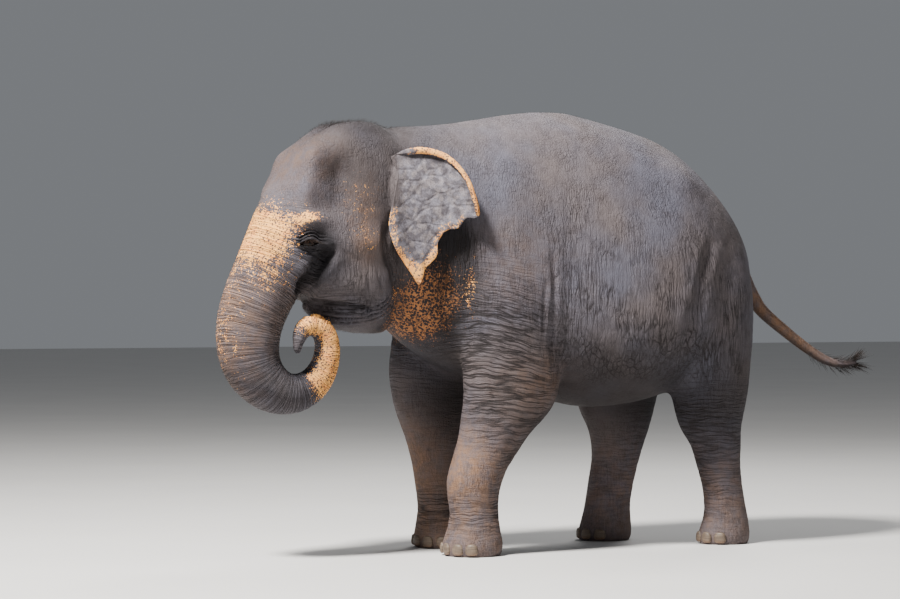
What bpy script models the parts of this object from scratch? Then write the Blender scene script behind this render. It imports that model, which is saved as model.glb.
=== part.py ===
"""A life-size, standing Asian elephant cow with her trunk curled up to her mouth, as a museum model.

The flesh is lofted from stations of named sizes, fused into one skin, worked over with soft pushes
for bones and hollows, and then parted by thin cuts into the parts a person would name.  Everything
is shaped with the head looking straight ahead along -Y; the head is turned a little before the cuts.
Metres, +Z up, the animal's left side towards +X.
"""

import math

import bmesh
import bpy
import numpy as np
from mathutils import Matrix, Vector

# ---- Driving dimensions ---------------------------------------------------------------------
GAP = 0.0003  # between two parts that touch
RING_SIDES = 40  # points round each loft ring
RING_PITCH = 0.045  # distance between loft rings
VOXEL = 0.018  # grain at which the lofts are fused
BODY_TRIANGLES = 2000  # behind the line below
HEAD_TRIANGLES = 1850  # ahead of it
HEAD_SIDE_Y = -0.80
HEAD_TURN = math.radians(5.0)  # towards the animal's left
TURN_Y = (-0.80, -0.55)  # the neck twists between these
TURN_PIVOT_Y = -0.68
HEAD_CUT_Y = -0.84  # plane between head and neck, at mid height
NECK_CUT_Y = -0.50  # plane between neck and torso, at mid height

# Torso and neck: y, top, bottom, half width, height of the widest line.
TORSO = (
    (-1.06, 2.215, 1.46, 0.225, 1.86),
    (-0.93, 2.272, 1.27, 0.262, 1.80),
    (-0.80, 2.288, 1.15, 0.300, 1.72),
    (-0.65, 2.294, 1.05, 0.345, 1.62),
    (-0.50, 2.308, 0.98, 0.395, 1.55),
    (-0.34, 2.332, 0.93, 0.435, 1.48),
    (-0.16, 2.360, 0.90, 0.460, 1.44),
    (0.02, 2.378, 0.84, 0.485, 1.40),
    (0.20, 2.378, 0.785, 0.515, 1.36),
    (0.38, 2.346, 0.765, 0.550, 1.33),
    (0.58, 2.300, 0.780, 0.565, 1.34),
    (0.76, 2.242, 0.820, 0.545, 1.39),
    (0.92, 2.145, 0.880, 0.495, 1.45),
    (1.07, 2.012, 0.960, 0.420, 1.48),
    (1.19, 1.880, 1.050, 0.340, 1.47),
    (1.285, 1.745, 1.140, 0.240, 1.44),
    (1.340, 1.600, 1.270, 0.120, 1.41),
)
TORSO_POWER = (2.08, 2.15)  # superellipse power above and below the widest line

# Head: z, front, back, half width, y of the widest line.
HEAD = (
    (2.262, -1.26, -0.93, 0.150, -1.10),
    (2.200, -1.375, -0.83, 0.222, -1.08),
    (2.120, -1.455, -0.77, 0.256, -1.06),
    (2.020, -1.525, -0.72, 0.274, -1.06),
    (1.920, -1.590, -0.70, 0.282, -1.08),
    (1.820, -1.635, -0.70, 0.286, -1.13),
    (1.720, -1.660, -0.72, 0.290, -1.19),
    (1.640, -1.665, -0.75, 0.293, -1.21),
    (1.550, -1.640, -0.79, 0.290, -1.20),
    (1.460, -1.540, -0.83, 0.282, -1.14),
    (1.380, -1.425, -0.87, 0.266, -1.08),
    (1.300, -1.245, -0.90, 0.232, -1.05),
    (1.230, -1.150, -0.92, 0.180, -1.03),
    (1.180, -1.080, -0.95, 0.110, -1.02),
)
HEAD_POWER = (2.5, 1.9)  # in front of and behind the widest line

# Lower jaw, a tube: x, y, z, half width, half depth.
JAW = (
    (0.0, -0.96, 1.345, 0.215, 0.175),
    (0.0, -1.06, 1.320, 0.208, 0.145),
    (0.0, -1.15, 1.300, 0.180, 0.112),
    (0.0, -1.22, 1.290, 0.135, 0.082),
    (0.0, -1.28, 1.298, 0.086, 0.056),
    (0.0, -1.34, 1.312, 0.050, 0.038),
    (0.0, -1.39, 1.332, 0.030, 0.025),
)

# Trunk, a tube from inside the forehead to the finger: x, y, z, half width, half depth.
TRUNK = (
    (0.000, -1.320, 1.980, 0.150, 0.150),
    (0.000, -1.400, 1.860, 0.180, 0.190),
    (0.000, -1.455, 1.750, 0.190, 0.210),
    (0.000, -1.515, 1.630, 0.188, 0.205),
    (0.000, -1.575, 1.520, 0.182, 0.195),
    (0.000, -1.640, 1.400, 0.176, 0.186),
    (0.000, -1.692, 1.280, 0.169, 0.178),
    (0.002, -1.716, 1.160, 0.163, 0.169),
    (0.006, -1.705, 1.050, 0.156, 0.158),
    (0.014, -1.660, 0.960, 0.146, 0.143),
    (0.026, -1.580, 0.892, 0.131, 0.126),
    (0.042, -1.490, 0.868, 0.115, 0.109),
    (0.062, -1.410, 0.888, 0.100, 0.095),
    (0.085, -1.345, 0.950, 0.087, 0.083),
    (0.104, -1.312, 1.030, 0.077, 0.073),
    (0.118, -1.308, 1.110, 0.070, 0.068),
    (0.126, -1.326, 1.176, 0.066, 0.063),
    (0.130, -1.370, 1.218, 0.062, 0.060),
    (0.130, -1.425, 1.226, 0.058, 0.055),
    (0.130, -1.468, 1.198, 0.050, 0.047),
    (0.128, -1.486, 1.148, 0.040, 0.035),
    (0.126, -1.492, 1.100, 0.030, 0.024),
    (0.126, -1.494, 1.064, 0.018, 0.014),
)

# Legs, from the sole up: z, x, y, half width, half length.  x is outwards from the midline.
FRONT_LEG_LEFT = (
    (0.000, 0.265, -0.495, 0.158, 0.160),
    (0.060, 0.265, -0.492, 0.164, 0.166),
    (0.140, 0.265, -0.485, 0.142, 0.144),
    (0.220, 0.265, -0.482, 0.130, 0.132),
    (0.300, 0.264, -0.488, 0.134, 0.139),
    (0.390, 0.262, -0.480, 0.143, 0.152),
    (0.470, 0.260, -0.448, 0.148, 0.162),
    (0.560, 0.260, -0.400, 0.152, 0.180),
    (0.650, 0.262, -0.352, 0.158, 0.204),
    (0.730, 0.264, -0.305, 0.166, 0.242),
    (0.820, 0.266, -0.266, 0.175, 0.268),
    (0.930, 0.268, -0.256, 0.184, 0.280),
    (1.060, 0.268, -0.268, 0.192, 0.280),
    (1.250, 0.264, -0.290, 0.196, 0.285),
    (1.480, 0.252, -0.300, 0.190, 0.270),
    (1.720, 0.226, -0.280, 0.150, 0.220),
    (1.950, 0.180, -0.230, 0.090, 0.140),
)
FRONT_LEG_RIGHT = (
    (0.000, 0.255, -0.400, 0.158, 0.160),
    (0.060, 0.255, -0.402, 0.164, 0.166),
    (0.140, 0.255, -0.410, 0.142, 0.144),
    (0.220, 0.255, -0.412, 0.130, 0.134),
    (0.300, 0.255, -0.415, 0.134, 0.140),
    (0.390, 0.255, -0.418, 0.143, 0.150),
    (0.470, 0.255, -0.422, 0.148, 0.160),
    (0.560, 0.257, -0.428, 0.152, 0.178),
    (0.650, 0.260, -0.432, 0.158, 0.202),
    (0.730, 0.263, -0.430, 0.166, 0.232),
    (0.820, 0.266, -0.426, 0.175, 0.258),
    (0.930, 0.268, -0.425, 0.184, 0.275),
    (1.060, 0.268, -0.415, 0.192, 0.280),
    (1.250, 0.264, -0.385, 0.196, 0.285),
    (1.480, 0.252, -0.350, 0.190, 0.270),
    (1.720, 0.226, -0.300, 0.150, 0.220),
    (1.950, 0.180, -0.230, 0.090, 0.140),
)
HIND_LEG_LEFT = (
    (0.000, 0.250, 1.098, 0.128, 0.148),
    (0.060, 0.250, 1.100, 0.130, 0.150),
    (0.140, 0.250, 1.110, 0.118, 0.130),
    (0.220, 0.250, 1.104, 0.108, 0.120),
    (0.320, 0.250, 1.088, 0.106, 0.117),
    (0.450, 0.250, 1.061, 0.112, 0.130),
    (0.550, 0.250, 1.046, 0.122, 0.150),
    (0.640, 0.252, 1.012, 0.138, 0.180),
    (0.730, 0.256, 1.002, 0.154, 0.206),
    (0.850, 0.262, 0.996, 0.172, 0.232),
    (1.000, 0.268, 0.975, 0.190, 0.264),
    (1.200, 0.272, 0.945, 0.206, 0.310),
    (1.450, 0.264, 0.920, 0.210, 0.330),
    (1.700, 0.236, 0.900, 0.180, 0.290),
    (1.950, 0.170, 0.860, 0.110, 0.170),
)
HIND_LEG_RIGHT = (
    (0.000, 0.250, 0.620, 0.130, 0.154),
    (0.060, 0.250, 0.624, 0.132, 0.158),
    (0.140, 0.250, 0.632, 0.122, 0.142),
    (0.220, 0.250, 0.642, 0.116, 0.134),
    (0.320, 0.250, 0.660, 0.116, 0.136),
    (0.450, 0.250, 0.690, 0.120, 0.142),
    (0.550, 0.250, 0.706, 0.130, 0.160),
    (0.640, 0.252, 0.712, 0.142, 0.190),
    (0.730, 0.256, 0.705, 0.156, 0.228),
    (0.850, 0.262, 0.710, 0.172, 0.262),
    (1.000, 0.268, 0.750, 0.190, 0.295),
    (1.200, 0.272, 0.820, 0.206, 0.325),
    (1.450, 0.264, 0.870, 0.210, 0.340),
    (1.700, 0.236, 0.880, 0.180, 0.290),
    (1.950, 0.170, 0.860, 0.110, 0.170),
)
LEG_CAP_HEIGHT = 0.004  # skin below this is pressed flat on the floor

# Tail, a tube: x, y, z, radius.
TAIL = (
    (0.000, 1.190, 1.800, 0.058),
    (0.005, 1.280, 1.700, 0.052),
    (0.012, 1.345, 1.570, 0.046),
    (0.022, 1.390, 1.460, 0.042),
    (0.035, 1.435, 1.370, 0.039),
    (0.050, 1.490, 1.290, 0.036),
    (0.090, 1.620, 1.175, 0.032),
    (0.120, 1.765, 1.068, 0.028),
    (0.140, 1.880, 1.005, 0.025),
    (0.155, 1.965, 0.990, 0.021),
    (0.170, 2.045, 1.000, 0.017),
)
TAIL_SIDES = 8

# Ear outline in (y, z), from the top of the root over the fold and round the lobe.
EAR_OUTLINE = (
    (-1.010, 2.100),
    (-0.930, 2.142),
    (-0.835, 2.152),
    (-0.715, 2.115),
    (-0.628, 2.028),
    (-0.575, 1.900),
    (-0.560, 1.800),
    (-0.622, 1.800),
    (-0.665, 1.742),
    (-0.742, 1.728),
    (-0.778, 1.672),
    (-0.792, 1.592),
    (-0.846, 1.522),
    (-0.874, 1.446),
    (-0.912, 1.490),
    (-0.958, 1.556),
    (-1.018, 1.644),
    (-1.042, 1.742),
    (-1.020, 1.876),
    (-0.985, 2.010),
)
EAR_CENTRE = (-0.860, 1.830)
EAR_ROOT_X = 0.302
EAR_FLARE = 0.33  # how far it stands out for each metre behind its root
EAR_TUCK = 0.035  # how far the top of the ear leans in
EAR_CUP = 0.018
EAR_LIFT = 0.020  # how far the free front edge stands off the cheek
EAR_THICKNESS = 0.014
EAR_STEP = 0.075
EAR_RINGS = (0.55, 1.0)
EAR_RIM_POINTS = 7  # outline points, from the first, whose edge is turned over
EAR_RIM_OUT = 0.018
EAR_RIM_DROP = 0.006
EAR_RIM_RADIUS = 0.019
EAR_ROOT_CENTRE = (0.272, -0.965, 1.905)
EAR_ROOT_HALF = (0.040, 0.050, 0.165)

EYE_CENTRE = (0.229, -1.484, 1.652)
EYE_RADIUS = 0.036
EYE_SIDES = 10
NAILS_FRONT = (-62, -31, 0, 31, 62)  # degrees round the foot from straight ahead
NAILS_HIND = (-52, -17, 17, 52)
NAIL_HALF = (0.034, 0.014, 0.034)  # width, depth and height
NAIL_SIDES = 7
NAIL_LOW = 0.006  # its lowest point above the floor

# Pushes on the fused flesh: centre, reach along x, y and z, and how far out it is pushed.
# Each also acts on the other side.
SWELLINGS = (
    ((0.110, -1.110, 2.290), (0.100, 0.170, 0.120), 0.040),  # twin domes of the crown
    ((0.000, -1.150, 2.300), (0.036, 0.190, 0.110), -0.036),  # groove between the domes
    ((0.165, -1.420, 2.090), (0.045, 0.070, 0.110), 0.034),  # frontal ridge, top
    ((0.205, -1.480, 1.930), (0.045, 0.070, 0.120), 0.030),  # frontal ridge, middle
    ((0.265, -1.290, 2.020), (0.080, 0.085, 0.110), -0.046),  # temple hollow
    ((0.262, -1.320, 1.860), (0.070, 0.070, 0.070), -0.014),
    ((0.255, -1.490, 1.762), (0.055, 0.100, 0.045), 0.032),  # brow over the eye
    ((0.270, -1.420, 1.570), (0.060, 0.070, 0.060), -0.014),  # hollow under the eye
    ((0.290, -1.150, 1.640), (0.060, 0.180, 0.090), 0.012),  # cheek bone
    ((0.270, -1.080, 1.400), (0.080, 0.160, 0.130), 0.014),  # chewing muscle
    ((0.000, -1.560, 1.980), (0.110, 0.110, 0.130), -0.016),  # dish of the forehead
    ((0.190, -1.560, 1.560), (0.050, 0.080, 0.090), 0.012),  # tusk sheath
    ((0.000, 0.100, 2.400), (0.070, 0.900, 0.120), 0.010),  # ridge of the spine
    ((0.350, -0.300, 1.900), (0.120, 0.120, 0.300), 0.014),  # shoulder blade
    ((0.440, -0.400, 1.300), (0.120, 0.140, 0.200), 0.016),  # point of the shoulder
    ((0.480, 0.000, 1.450), (0.120, 0.100, 0.350), -0.018),  # hollow behind the shoulder
    ((0.400, 0.760, 2.020), (0.110, 0.130, 0.110), 0.024),  # hip bone
    ((0.500, 0.500, 1.900), (0.160, 0.160, 0.160), -0.016),  # flank hollow
    ((0.480, 0.820, 1.150), (0.120, 0.130, 0.180), 0.016),  # stifle
    ((0.000, 1.380, 1.380), (0.060, 0.120, 0.240), -0.030),  # cleft under the tail
)

# Where lofts meet and are eased into each other: centre and reach along x, y and z, on both sides.
EASED = (
    ((0.430, -0.340, 1.480), (0.300, 0.330, 0.420)),  # shoulder into the barrel
    ((0.460, 0.900, 1.500), (0.300, 0.380, 0.480)),  # thigh into the rump
    ((0.250, -0.800, 1.880), (0.200, 0.140, 0.450)),  # skull into the neck
    ((0.000, -0.840, 2.280), (0.200, 0.120, 0.140)),  # nape
)
EASE_ROUNDS = 60

# Cuts across the trunk, and the tilts of the two slabs.
TRUNK_CUTS = ((6, 0.028), (9, 0.025), (12, 0.022), (15, 0.020))  # station, reach past the skin
HEAD_CUT_TILT = math.radians(5.0)
NECK_CUT_TILT = math.radians(-4.0)
LEG_BOX_X = (0.020, 0.800)
# Boxes that free the legs: side, front, back, roof height at the inner and at the outer wall.
LEG_BOXES = (
    (1, -0.85, 0.06, 0.84, 1.56),
    (-1, -0.85, -0.10, 0.84, 1.56),
    (1, 0.70, 1.60, 0.79, 1.60),
    (-1, 0.40, 1.60, 0.79, 1.60),
)
ANCHORS = {
    "head": (0.0, -1.100, 2.290),
    "neck": (0.0, -0.680, 2.290),
    "torso": (0.0, 0.200, 2.380),
    "trunk_upper": (0.0, -1.880, 1.120),
    "trunk_middle": (0.030, -1.550, 0.770),
    "trunk_lower": (0.100, -1.230, 0.990),
    "trunk_tip": (0.122, -1.440, 1.290),
    "leg_front_left": (0.265, -0.495, 0.0),
    "leg_front_right": (-0.255, -0.400, 0.0),
    "leg_hind_left": (0.250, 1.105, 0.0),
    "leg_hind_right": (-0.250, 0.620, 0.0),
}
FEET = (
    ("front_left", FRONT_LEG_LEFT, 1, NAILS_FRONT),
    ("front_right", FRONT_LEG_RIGHT, -1, NAILS_FRONT),
    ("hind_left", HIND_LEG_LEFT, 1, NAILS_HIND),
    ("hind_right", HIND_LEG_RIGHT, -1, NAILS_HIND),
)

COLOURS = {
    "skin": ((0.155, 0.130, 0.125), 0.85),
    "ear_skin": ((0.170, 0.145, 0.140), 0.85),
    "eye": ((0.030, 0.018, 0.010), 0.08),
    "nail": ((0.420, 0.340, 0.250), 0.60),
}


# ---- Scene and small helpers ----------------------------------------------------------------
def clear_scene():
    for item in list(bpy.data.objects):
        bpy.data.objects.remove(item, do_unlink=True)


def new_collection(name, hidden=False):
    collection = bpy.data.collections.new(name)
    bpy.context.scene.collection.children.link(collection)
    collection.hide_render = hidden
    return collection


def new_cutter(bm, name):
    made = object_from_bmesh(name, bm, cutters)
    made.display_type = "WIRE"
    return made


def material(name, finish):
    colour, roughness = COLOURS[finish]
    made = bpy.data.materials.new(name)
    made.use_nodes = True
    made.diffuse_color = (*colour, 1.0)
    shader = made.node_tree.nodes["Principled BSDF"]
    shader.inputs["Base Color"].default_value = (*colour, 1.0)
    shader.inputs["Roughness"].default_value = roughness
    shader.inputs["Metallic"].default_value = 0.0
    return made


def object_from(name, mesh, collection):
    made = bpy.data.objects.new(name, mesh)
    collection.objects.link(made)
    return made


def object_from_bmesh(name, bm, collection):
    bmesh.ops.recalc_face_normals(bm, faces=bm.faces)
    mesh = bpy.data.meshes.new(name)
    bm.to_mesh(mesh)
    bm.free()
    return object_from(name, mesh, collection)


def settle(item):
    """Takes the evaluated mesh as the object's own and drops its modifiers."""
    graph = bpy.context.evaluated_depsgraph_get()
    mesh = bpy.data.meshes.new_from_object(item.evaluated_get(graph))
    item.modifiers.clear()
    item.data = mesh


def points_of(item):
    co = np.empty(len(item.data.vertices) * 3)
    item.data.vertices.foreach_get("co", co)
    return co.reshape(-1, 3)


def put_points(item, co):
    item.data.vertices.foreach_set("co", np.ascontiguousarray(co, np.float32).ravel())
    item.data.update()


def smooth_step(value, low, high):
    t = np.clip((value - low) / (high - low), 0.0, 1.0)
    return t * t * (3.0 - 2.0 * t)


def catmull_rom(rows, pitch):
    """A smooth curve through rows of numbers, sampled about every pitch of its first three columns."""
    rows = np.array(rows, float)
    ends = np.vstack([2 * rows[0] - rows[1], rows, 2 * rows[-1] - rows[-2]])
    out = []
    for i in range(1, len(ends) - 2):
        a, b, c, d = ends[i - 1 : i + 3]
        steps = max(1, int(math.ceil(np.linalg.norm((c - b)[:3]) / pitch)))
        for t in np.arange(steps) / steps:
            bend = (2 * a - 5 * b + 4 * c - d) * t**2 + (3 * b - a - 3 * c + d) * t**3
            out.append(0.5 * (2 * b + (c - a) * t + bend))
    out.append(rows[-1])
    return np.array(out)


def signed_power(value, power):
    return np.sign(value) * np.abs(value) ** power


# ---- Lofts ----------------------------------------------------------------------------------
def loft(name, rings, collection):
    """A closed body through rings of equally many points, with a fan at each end."""
    bm = bmesh.new()
    rows = [[bm.verts.new(p) for p in ring] for ring in rings]
    count = len(rows[0])
    for low, high in zip(rows, rows[1:]):
        for i in range(count):
            j = (i + 1) % count
            bm.faces.new((low[i], low[j], high[j], high[i]))
    for ring, points in ((rows[0], rings[0]), (rows[-1], rings[-1])):
        middle = bm.verts.new(np.mean(points, axis=0))
        for i in range(count):
            bm.faces.new((ring[i], ring[(i + 1) % count], middle))
    return object_from_bmesh(name, bm, collection)


def angles(sides=RING_SIDES):
    return np.linspace(0, 2 * math.pi, sides, endpoint=False)


def upright_rings(rows, powers):
    """Rings across the body: each row is y, top, bottom, half width, height of the widest line."""
    turn = angles()
    rings = []
    for y, top, bottom, half, widest in catmull_rom(rows, RING_PITCH):
        up = np.sin(turn) > 0
        power = np.where(up, powers[0], powers[1])
        x = half * signed_power(np.cos(turn), 2 / power)
        z = widest + np.where(up, top - widest, widest - bottom) * signed_power(np.sin(turn), 2 / power)
        rings.append(np.stack([x, np.full_like(x, y), z], axis=1))
    return rings


def level_rings(rows, powers):
    """Flat rings up a head: each row is z, front, back, half width, y of the widest line."""
    turn = angles()
    rings = []
    for z, front, back, half, widest in catmull_rom(rows, RING_PITCH):
        ahead = np.sin(turn) > 0
        power = np.where(ahead, powers[0], powers[1])
        x = half * signed_power(np.cos(turn), 2 / power)
        y = widest + np.where(ahead, front - widest, widest - back) * signed_power(np.sin(turn), 2 / power)
        rings.append(np.stack([x, y, np.full_like(x, z)], axis=1))
    return rings


def leg_rings(rows, side):
    turn = angles()
    rings = []
    for z, x, y, half_width, half_length in catmull_rom(rows, RING_PITCH):
        rings.append(
            np.stack(
                [side * x + half_width * np.cos(turn), y + half_length * np.sin(turn), np.full_like(turn, z)],
                axis=1,
            )
        )
    return rings


def tube_rings(rows, sides=RING_SIDES, pitch=RING_PITCH):
    """Rings square to a path that stays near the midplane: x, y, z, half width, half depth."""
    path = catmull_rom(rows, pitch)
    way = np.gradient(path[:, :3], axis=0)
    turn = angles(sides)
    rings = []
    for (x, y, z, half_width, half_depth), direction in zip(path, way):
        tangent = Vector(direction).normalized()
        across = (Vector((1, 0, 0)) - tangent * tangent.x).normalized()
        outward = np.array(across.cross(tangent))
        rings.append(
            np.array([x, y, z])
            + np.outer(np.cos(turn) * half_width, np.array(across))
            + np.outer(np.sin(turn) * half_depth, outward)
        )
    return rings


# ---- The flesh ------------------------------------------------------------------------------
def crude_flesh(collection):
    """The overlapping lofts that are fused into one skin."""
    pieces = [
        loft("loft_torso", upright_rings(TORSO, TORSO_POWER), collection),
        loft("loft_head", level_rings(HEAD, HEAD_POWER), collection),
        loft("loft_jaw", tube_rings(JAW), collection),
        loft("loft_trunk", tube_rings(TRUNK), collection),
        loft("loft_front_left", leg_rings(FRONT_LEG_LEFT, 1), collection),
        loft("loft_front_right", leg_rings(FRONT_LEG_RIGHT, -1), collection),
        loft("loft_hind_left", leg_rings(HIND_LEG_LEFT, 1), collection),
        loft("loft_hind_right", leg_rings(HIND_LEG_RIGHT, -1), collection),
    ]
    bm = bmesh.new()
    for piece in pieces:
        bm.from_mesh(piece.data)
        bpy.data.objects.remove(piece, do_unlink=True)
    return object_from_bmesh("flesh", bm, collection)


def fuse(flesh):
    remesh = flesh.modifiers.new("Fuse", "REMESH")
    remesh.mode = "VOXEL"
    remesh.voxel_size = VOXEL
    remesh.adaptivity = 0.0
    settle(flesh)


def relax(flesh, rounds, factor, weights=None):
    """Smooths the whole surface, or each vertex by its weight."""
    smooth = flesh.modifiers.new("Relax", "SMOOTH")
    smooth.iterations = rounds
    smooth.factor = factor
    if weights is not None:
        group = flesh.vertex_groups.new(name="eased")
        steps = np.round(weights, 1)
        for step in np.unique(steps[steps > 0]):
            group.add(np.flatnonzero(steps == step).tolist(), float(step), "REPLACE")
        smooth.vertex_group = "eased"
    settle(flesh)
    flesh.vertex_groups.clear()


def spread(co, centre, reach):
    """A soft weight, 1 at the centre, on both sides of the midline."""
    weight = np.zeros(len(co))
    for side in (1, -1) if centre[0] else (1,):
        away = (co - np.array(centre) * (side, 1, 1)) / np.array(reach)
        weight += np.exp(-(away**2).sum(axis=1))
    return weight


def ease_joins(flesh):
    co = points_of(flesh)
    weight = sum(spread(co, centre, reach) for centre, reach in EASED)
    relax(flesh, EASE_ROUNDS, 0.5, np.clip(1.3 * weight, 0.0, 1.0))


def push_swellings(flesh):
    co = points_of(flesh)
    normal = np.empty(len(co) * 3)
    flesh.data.vertices.foreach_get("normal", normal)
    normal = normal.reshape(-1, 3)
    moved = sum(amount * spread(co, centre, reach) for centre, reach, amount in SWELLINGS)
    put_points(flesh, co + normal * moved[:, None])


def flatten_soles(flesh):
    co = points_of(flesh)
    low = co[:, 2] < LEG_CAP_HEIGHT + VOXEL
    co[low, 2] = np.where(co[low, 2] < LEG_CAP_HEIGHT, 0.0, co[low, 2])
    put_points(flesh, co)


def thin_out(flesh, name, chosen, target):
    """Collapses the chosen vertices' surface until the whole flesh has the target number of triangles."""
    group = flesh.vertex_groups.new(name=name)
    group.add([int(i) for i in np.flatnonzero(chosen)], 1.0, "REPLACE")
    flesh.data.calc_loop_triangles()
    decimate = flesh.modifiers.new(name, "DECIMATE")
    decimate.ratio = target / len(flesh.data.loop_triangles)
    decimate.vertex_group = name
    decimate.use_collapse_triangulate = True
    settle(flesh)
    flesh.vertex_groups.clear()


# ---- Ears, eyes, nails and tail --------------------------------------------------------------
def ear_x(y, z):
    """How far out the ear's sheet lies: flared behind, tucked in at the top, free in front."""
    behind = y - EAR_OUTLINE[0][0]
    tucked = EAR_TUCK * smooth_step(z, 1.95, 2.16)
    cupped = EAR_CUP * math.sin(math.pi * min(max(behind / 0.45, 0.0), 1.0))
    lifted = EAR_LIFT * smooth_step(-y, 0.93, 1.03) * (1 - smooth_step(z, 1.86, 1.98))
    return EAR_ROOT_X + EAR_FLARE * behind - tucked - cupped + lifted


def ear_sheet(collection):
    """The ear's flap: rings from its middle out to the outline, thickened."""
    outline = [(0.0, y, z) for y, z in EAR_OUTLINE]
    closed = catmull_rom(outline + outline[:1], EAR_STEP)[:-1, 1:]
    middle = np.array(EAR_CENTRE)
    bm = bmesh.new()
    rings = []
    for share in EAR_RINGS:
        ring = []
        for y, z in middle + (closed - middle) * share:
            ring.append(bm.verts.new((ear_x(y, z), y, z)))
        rings.append(ring)
    hub = bm.verts.new((ear_x(*EAR_CENTRE), *EAR_CENTRE))
    count = len(closed)
    for i in range(count):
        j = (i + 1) % count
        bm.faces.new((rings[0][i], rings[0][j], hub))
        for inner, outer in zip(rings, rings[1:]):
            bm.faces.new((inner[i], outer[i], outer[j], inner[j]))
    sheet = object_from_bmesh("ear_sheet", bm, collection)
    solid = sheet.modifiers.new("Thickness", "SOLIDIFY")
    solid.thickness = EAR_THICKNESS
    solid.offset = 0.0
    settle(sheet)
    return sheet


def ear_rim(collection):
    """The upper edge of the ear, turned over outwards like a soft roll."""
    rows = []
    for y, z in EAR_OUTLINE[:EAR_RIM_POINTS]:
        rows.append((ear_x(y, z) + EAR_RIM_OUT, y, z - EAR_RIM_DROP, EAR_RIM_RADIUS, EAR_RIM_RADIUS))
    rows[0] = (*rows[0][:3], EAR_RIM_RADIUS / 2, EAR_RIM_RADIUS / 2)
    return loft("ear_rim", tube_rings(rows, sides=6, pitch=0.08), collection)


def ear_root(collection):
    """The gristle that carries the ear, let into the side of the head."""
    bm = bmesh.new()
    bmesh.ops.create_uvsphere(bm, u_segments=10, v_segments=6, radius=1.0)
    bmesh.ops.scale(bm, vec=EAR_ROOT_HALF, verts=bm.verts)
    bmesh.ops.translate(bm, vec=EAR_ROOT_CENTRE, verts=bm.verts)
    return object_from_bmesh("ear_root", bm, collection)


def boolean(item, other, operation):
    """Applies an exact Boolean; the other object is left in place."""
    step = item.modifiers.new("Boolean", "BOOLEAN")
    step.operation = operation
    step.solver = "EXACT"
    step.object = other
    settle(item)


def join_solids(name, pieces):
    first = pieces[0]
    first.name = name
    for other in pieces[1:]:
        boolean(first, other, "UNION")
        bpy.data.objects.remove(other, do_unlink=True)
    return first


def mirrored(item, name, collection):
    bm = bmesh.new()
    bm.from_mesh(item.data)
    bmesh.ops.scale(bm, vec=(-1, 1, 1), verts=bm.verts)
    bmesh.ops.reverse_faces(bm, faces=bm.faces)
    mesh = bpy.data.meshes.new(name)
    bm.to_mesh(mesh)
    bm.free()
    return object_from(name, mesh, collection)


def ellipsoid(name, centre, half, turn, segments, collection):
    bm = bmesh.new()
    bmesh.ops.create_uvsphere(bm, u_segments=segments, v_segments=segments * 2 // 3, radius=1.0)
    bmesh.ops.scale(bm, vec=half, verts=bm.verts)
    bmesh.ops.rotate(bm, cent=(0, 0, 0), matrix=Matrix.Rotation(turn, 3, "Z"), verts=bm.verts)
    bmesh.ops.translate(bm, vec=centre, verts=bm.verts)
    return object_from_bmesh(name, bm, collection)


def nails_of(foot, rows, side, bearings, collection):
    """The toenails round one foot, set half into its edge at a third of a sole's height."""
    _, x, y, half_width, half_length = rows[1]
    made = []
    for number, bearing in enumerate(bearings, 1):
        turn = math.radians(bearing)
        centre = (
            side * x + half_width * math.sin(turn),
            y - half_length * math.cos(turn),
            NAIL_LOW + NAIL_HALF[2],
        )
        made.append(ellipsoid(f"nail_{foot}_{number}", centre, NAIL_HALF, turn, NAIL_SIDES, collection))
    return made


def tail_tube(collection):
    rows = [(x, y, z, radius, radius) for x, y, z, radius in TAIL]
    return loft("tail", tube_rings(rows, TAIL_SIDES, 0.10), collection)


def cut_free(item, other):
    """Cuts from the item the room that the other takes, with the gap all round it."""
    room = other.copy()
    room.data = other.data.copy()
    room.name = "room_for_" + other.name
    cutters.objects.link(room)
    co = points_of(room)
    normal = np.empty(len(co) * 3)
    room.data.vertices.foreach_get("normal", normal)
    put_points(room, co + GAP * normal.reshape(-1, 3))
    boolean(item, room, "DIFFERENCE")
    bpy.data.objects.remove(room, do_unlink=True)


# ---- Parting the flesh ------------------------------------------------------------------------
def disc(row, reach):
    """A thin round cut square to the trunk at one of its stations, reaching a little past the skin."""
    before, here, after = (Vector(TRUNK[row + step][:3]) for step in (-1, 0, 1))
    bm = bmesh.new()
    radius = reach + max(TRUNK[row][3:])
    bmesh.ops.create_cone(bm, cap_ends=True, segments=24, radius1=radius, radius2=radius, depth=GAP)
    facing = (after - before).to_track_quat("Z", "Y").to_matrix().to_4x4()
    bmesh.ops.transform(bm, matrix=Matrix.Translation(here) @ facing, verts=bm.verts)
    return new_cutter(bm, "cut_disc")


def slab(y, tilt):
    """A thin cut across the whole body, leaning by the tilt."""
    bm = bmesh.new()
    bmesh.ops.create_cube(bm, size=1.0)
    bmesh.ops.scale(bm, vec=(3.0, GAP, 4.0), verts=bm.verts)
    bmesh.ops.rotate(bm, cent=(0, 0, 0), matrix=Matrix.Rotation(tilt, 3, "X"), verts=bm.verts)
    bmesh.ops.translate(bm, vec=(0, y, 1.7), verts=bm.verts)
    return new_cutter(bm, "cut_slab")


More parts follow.
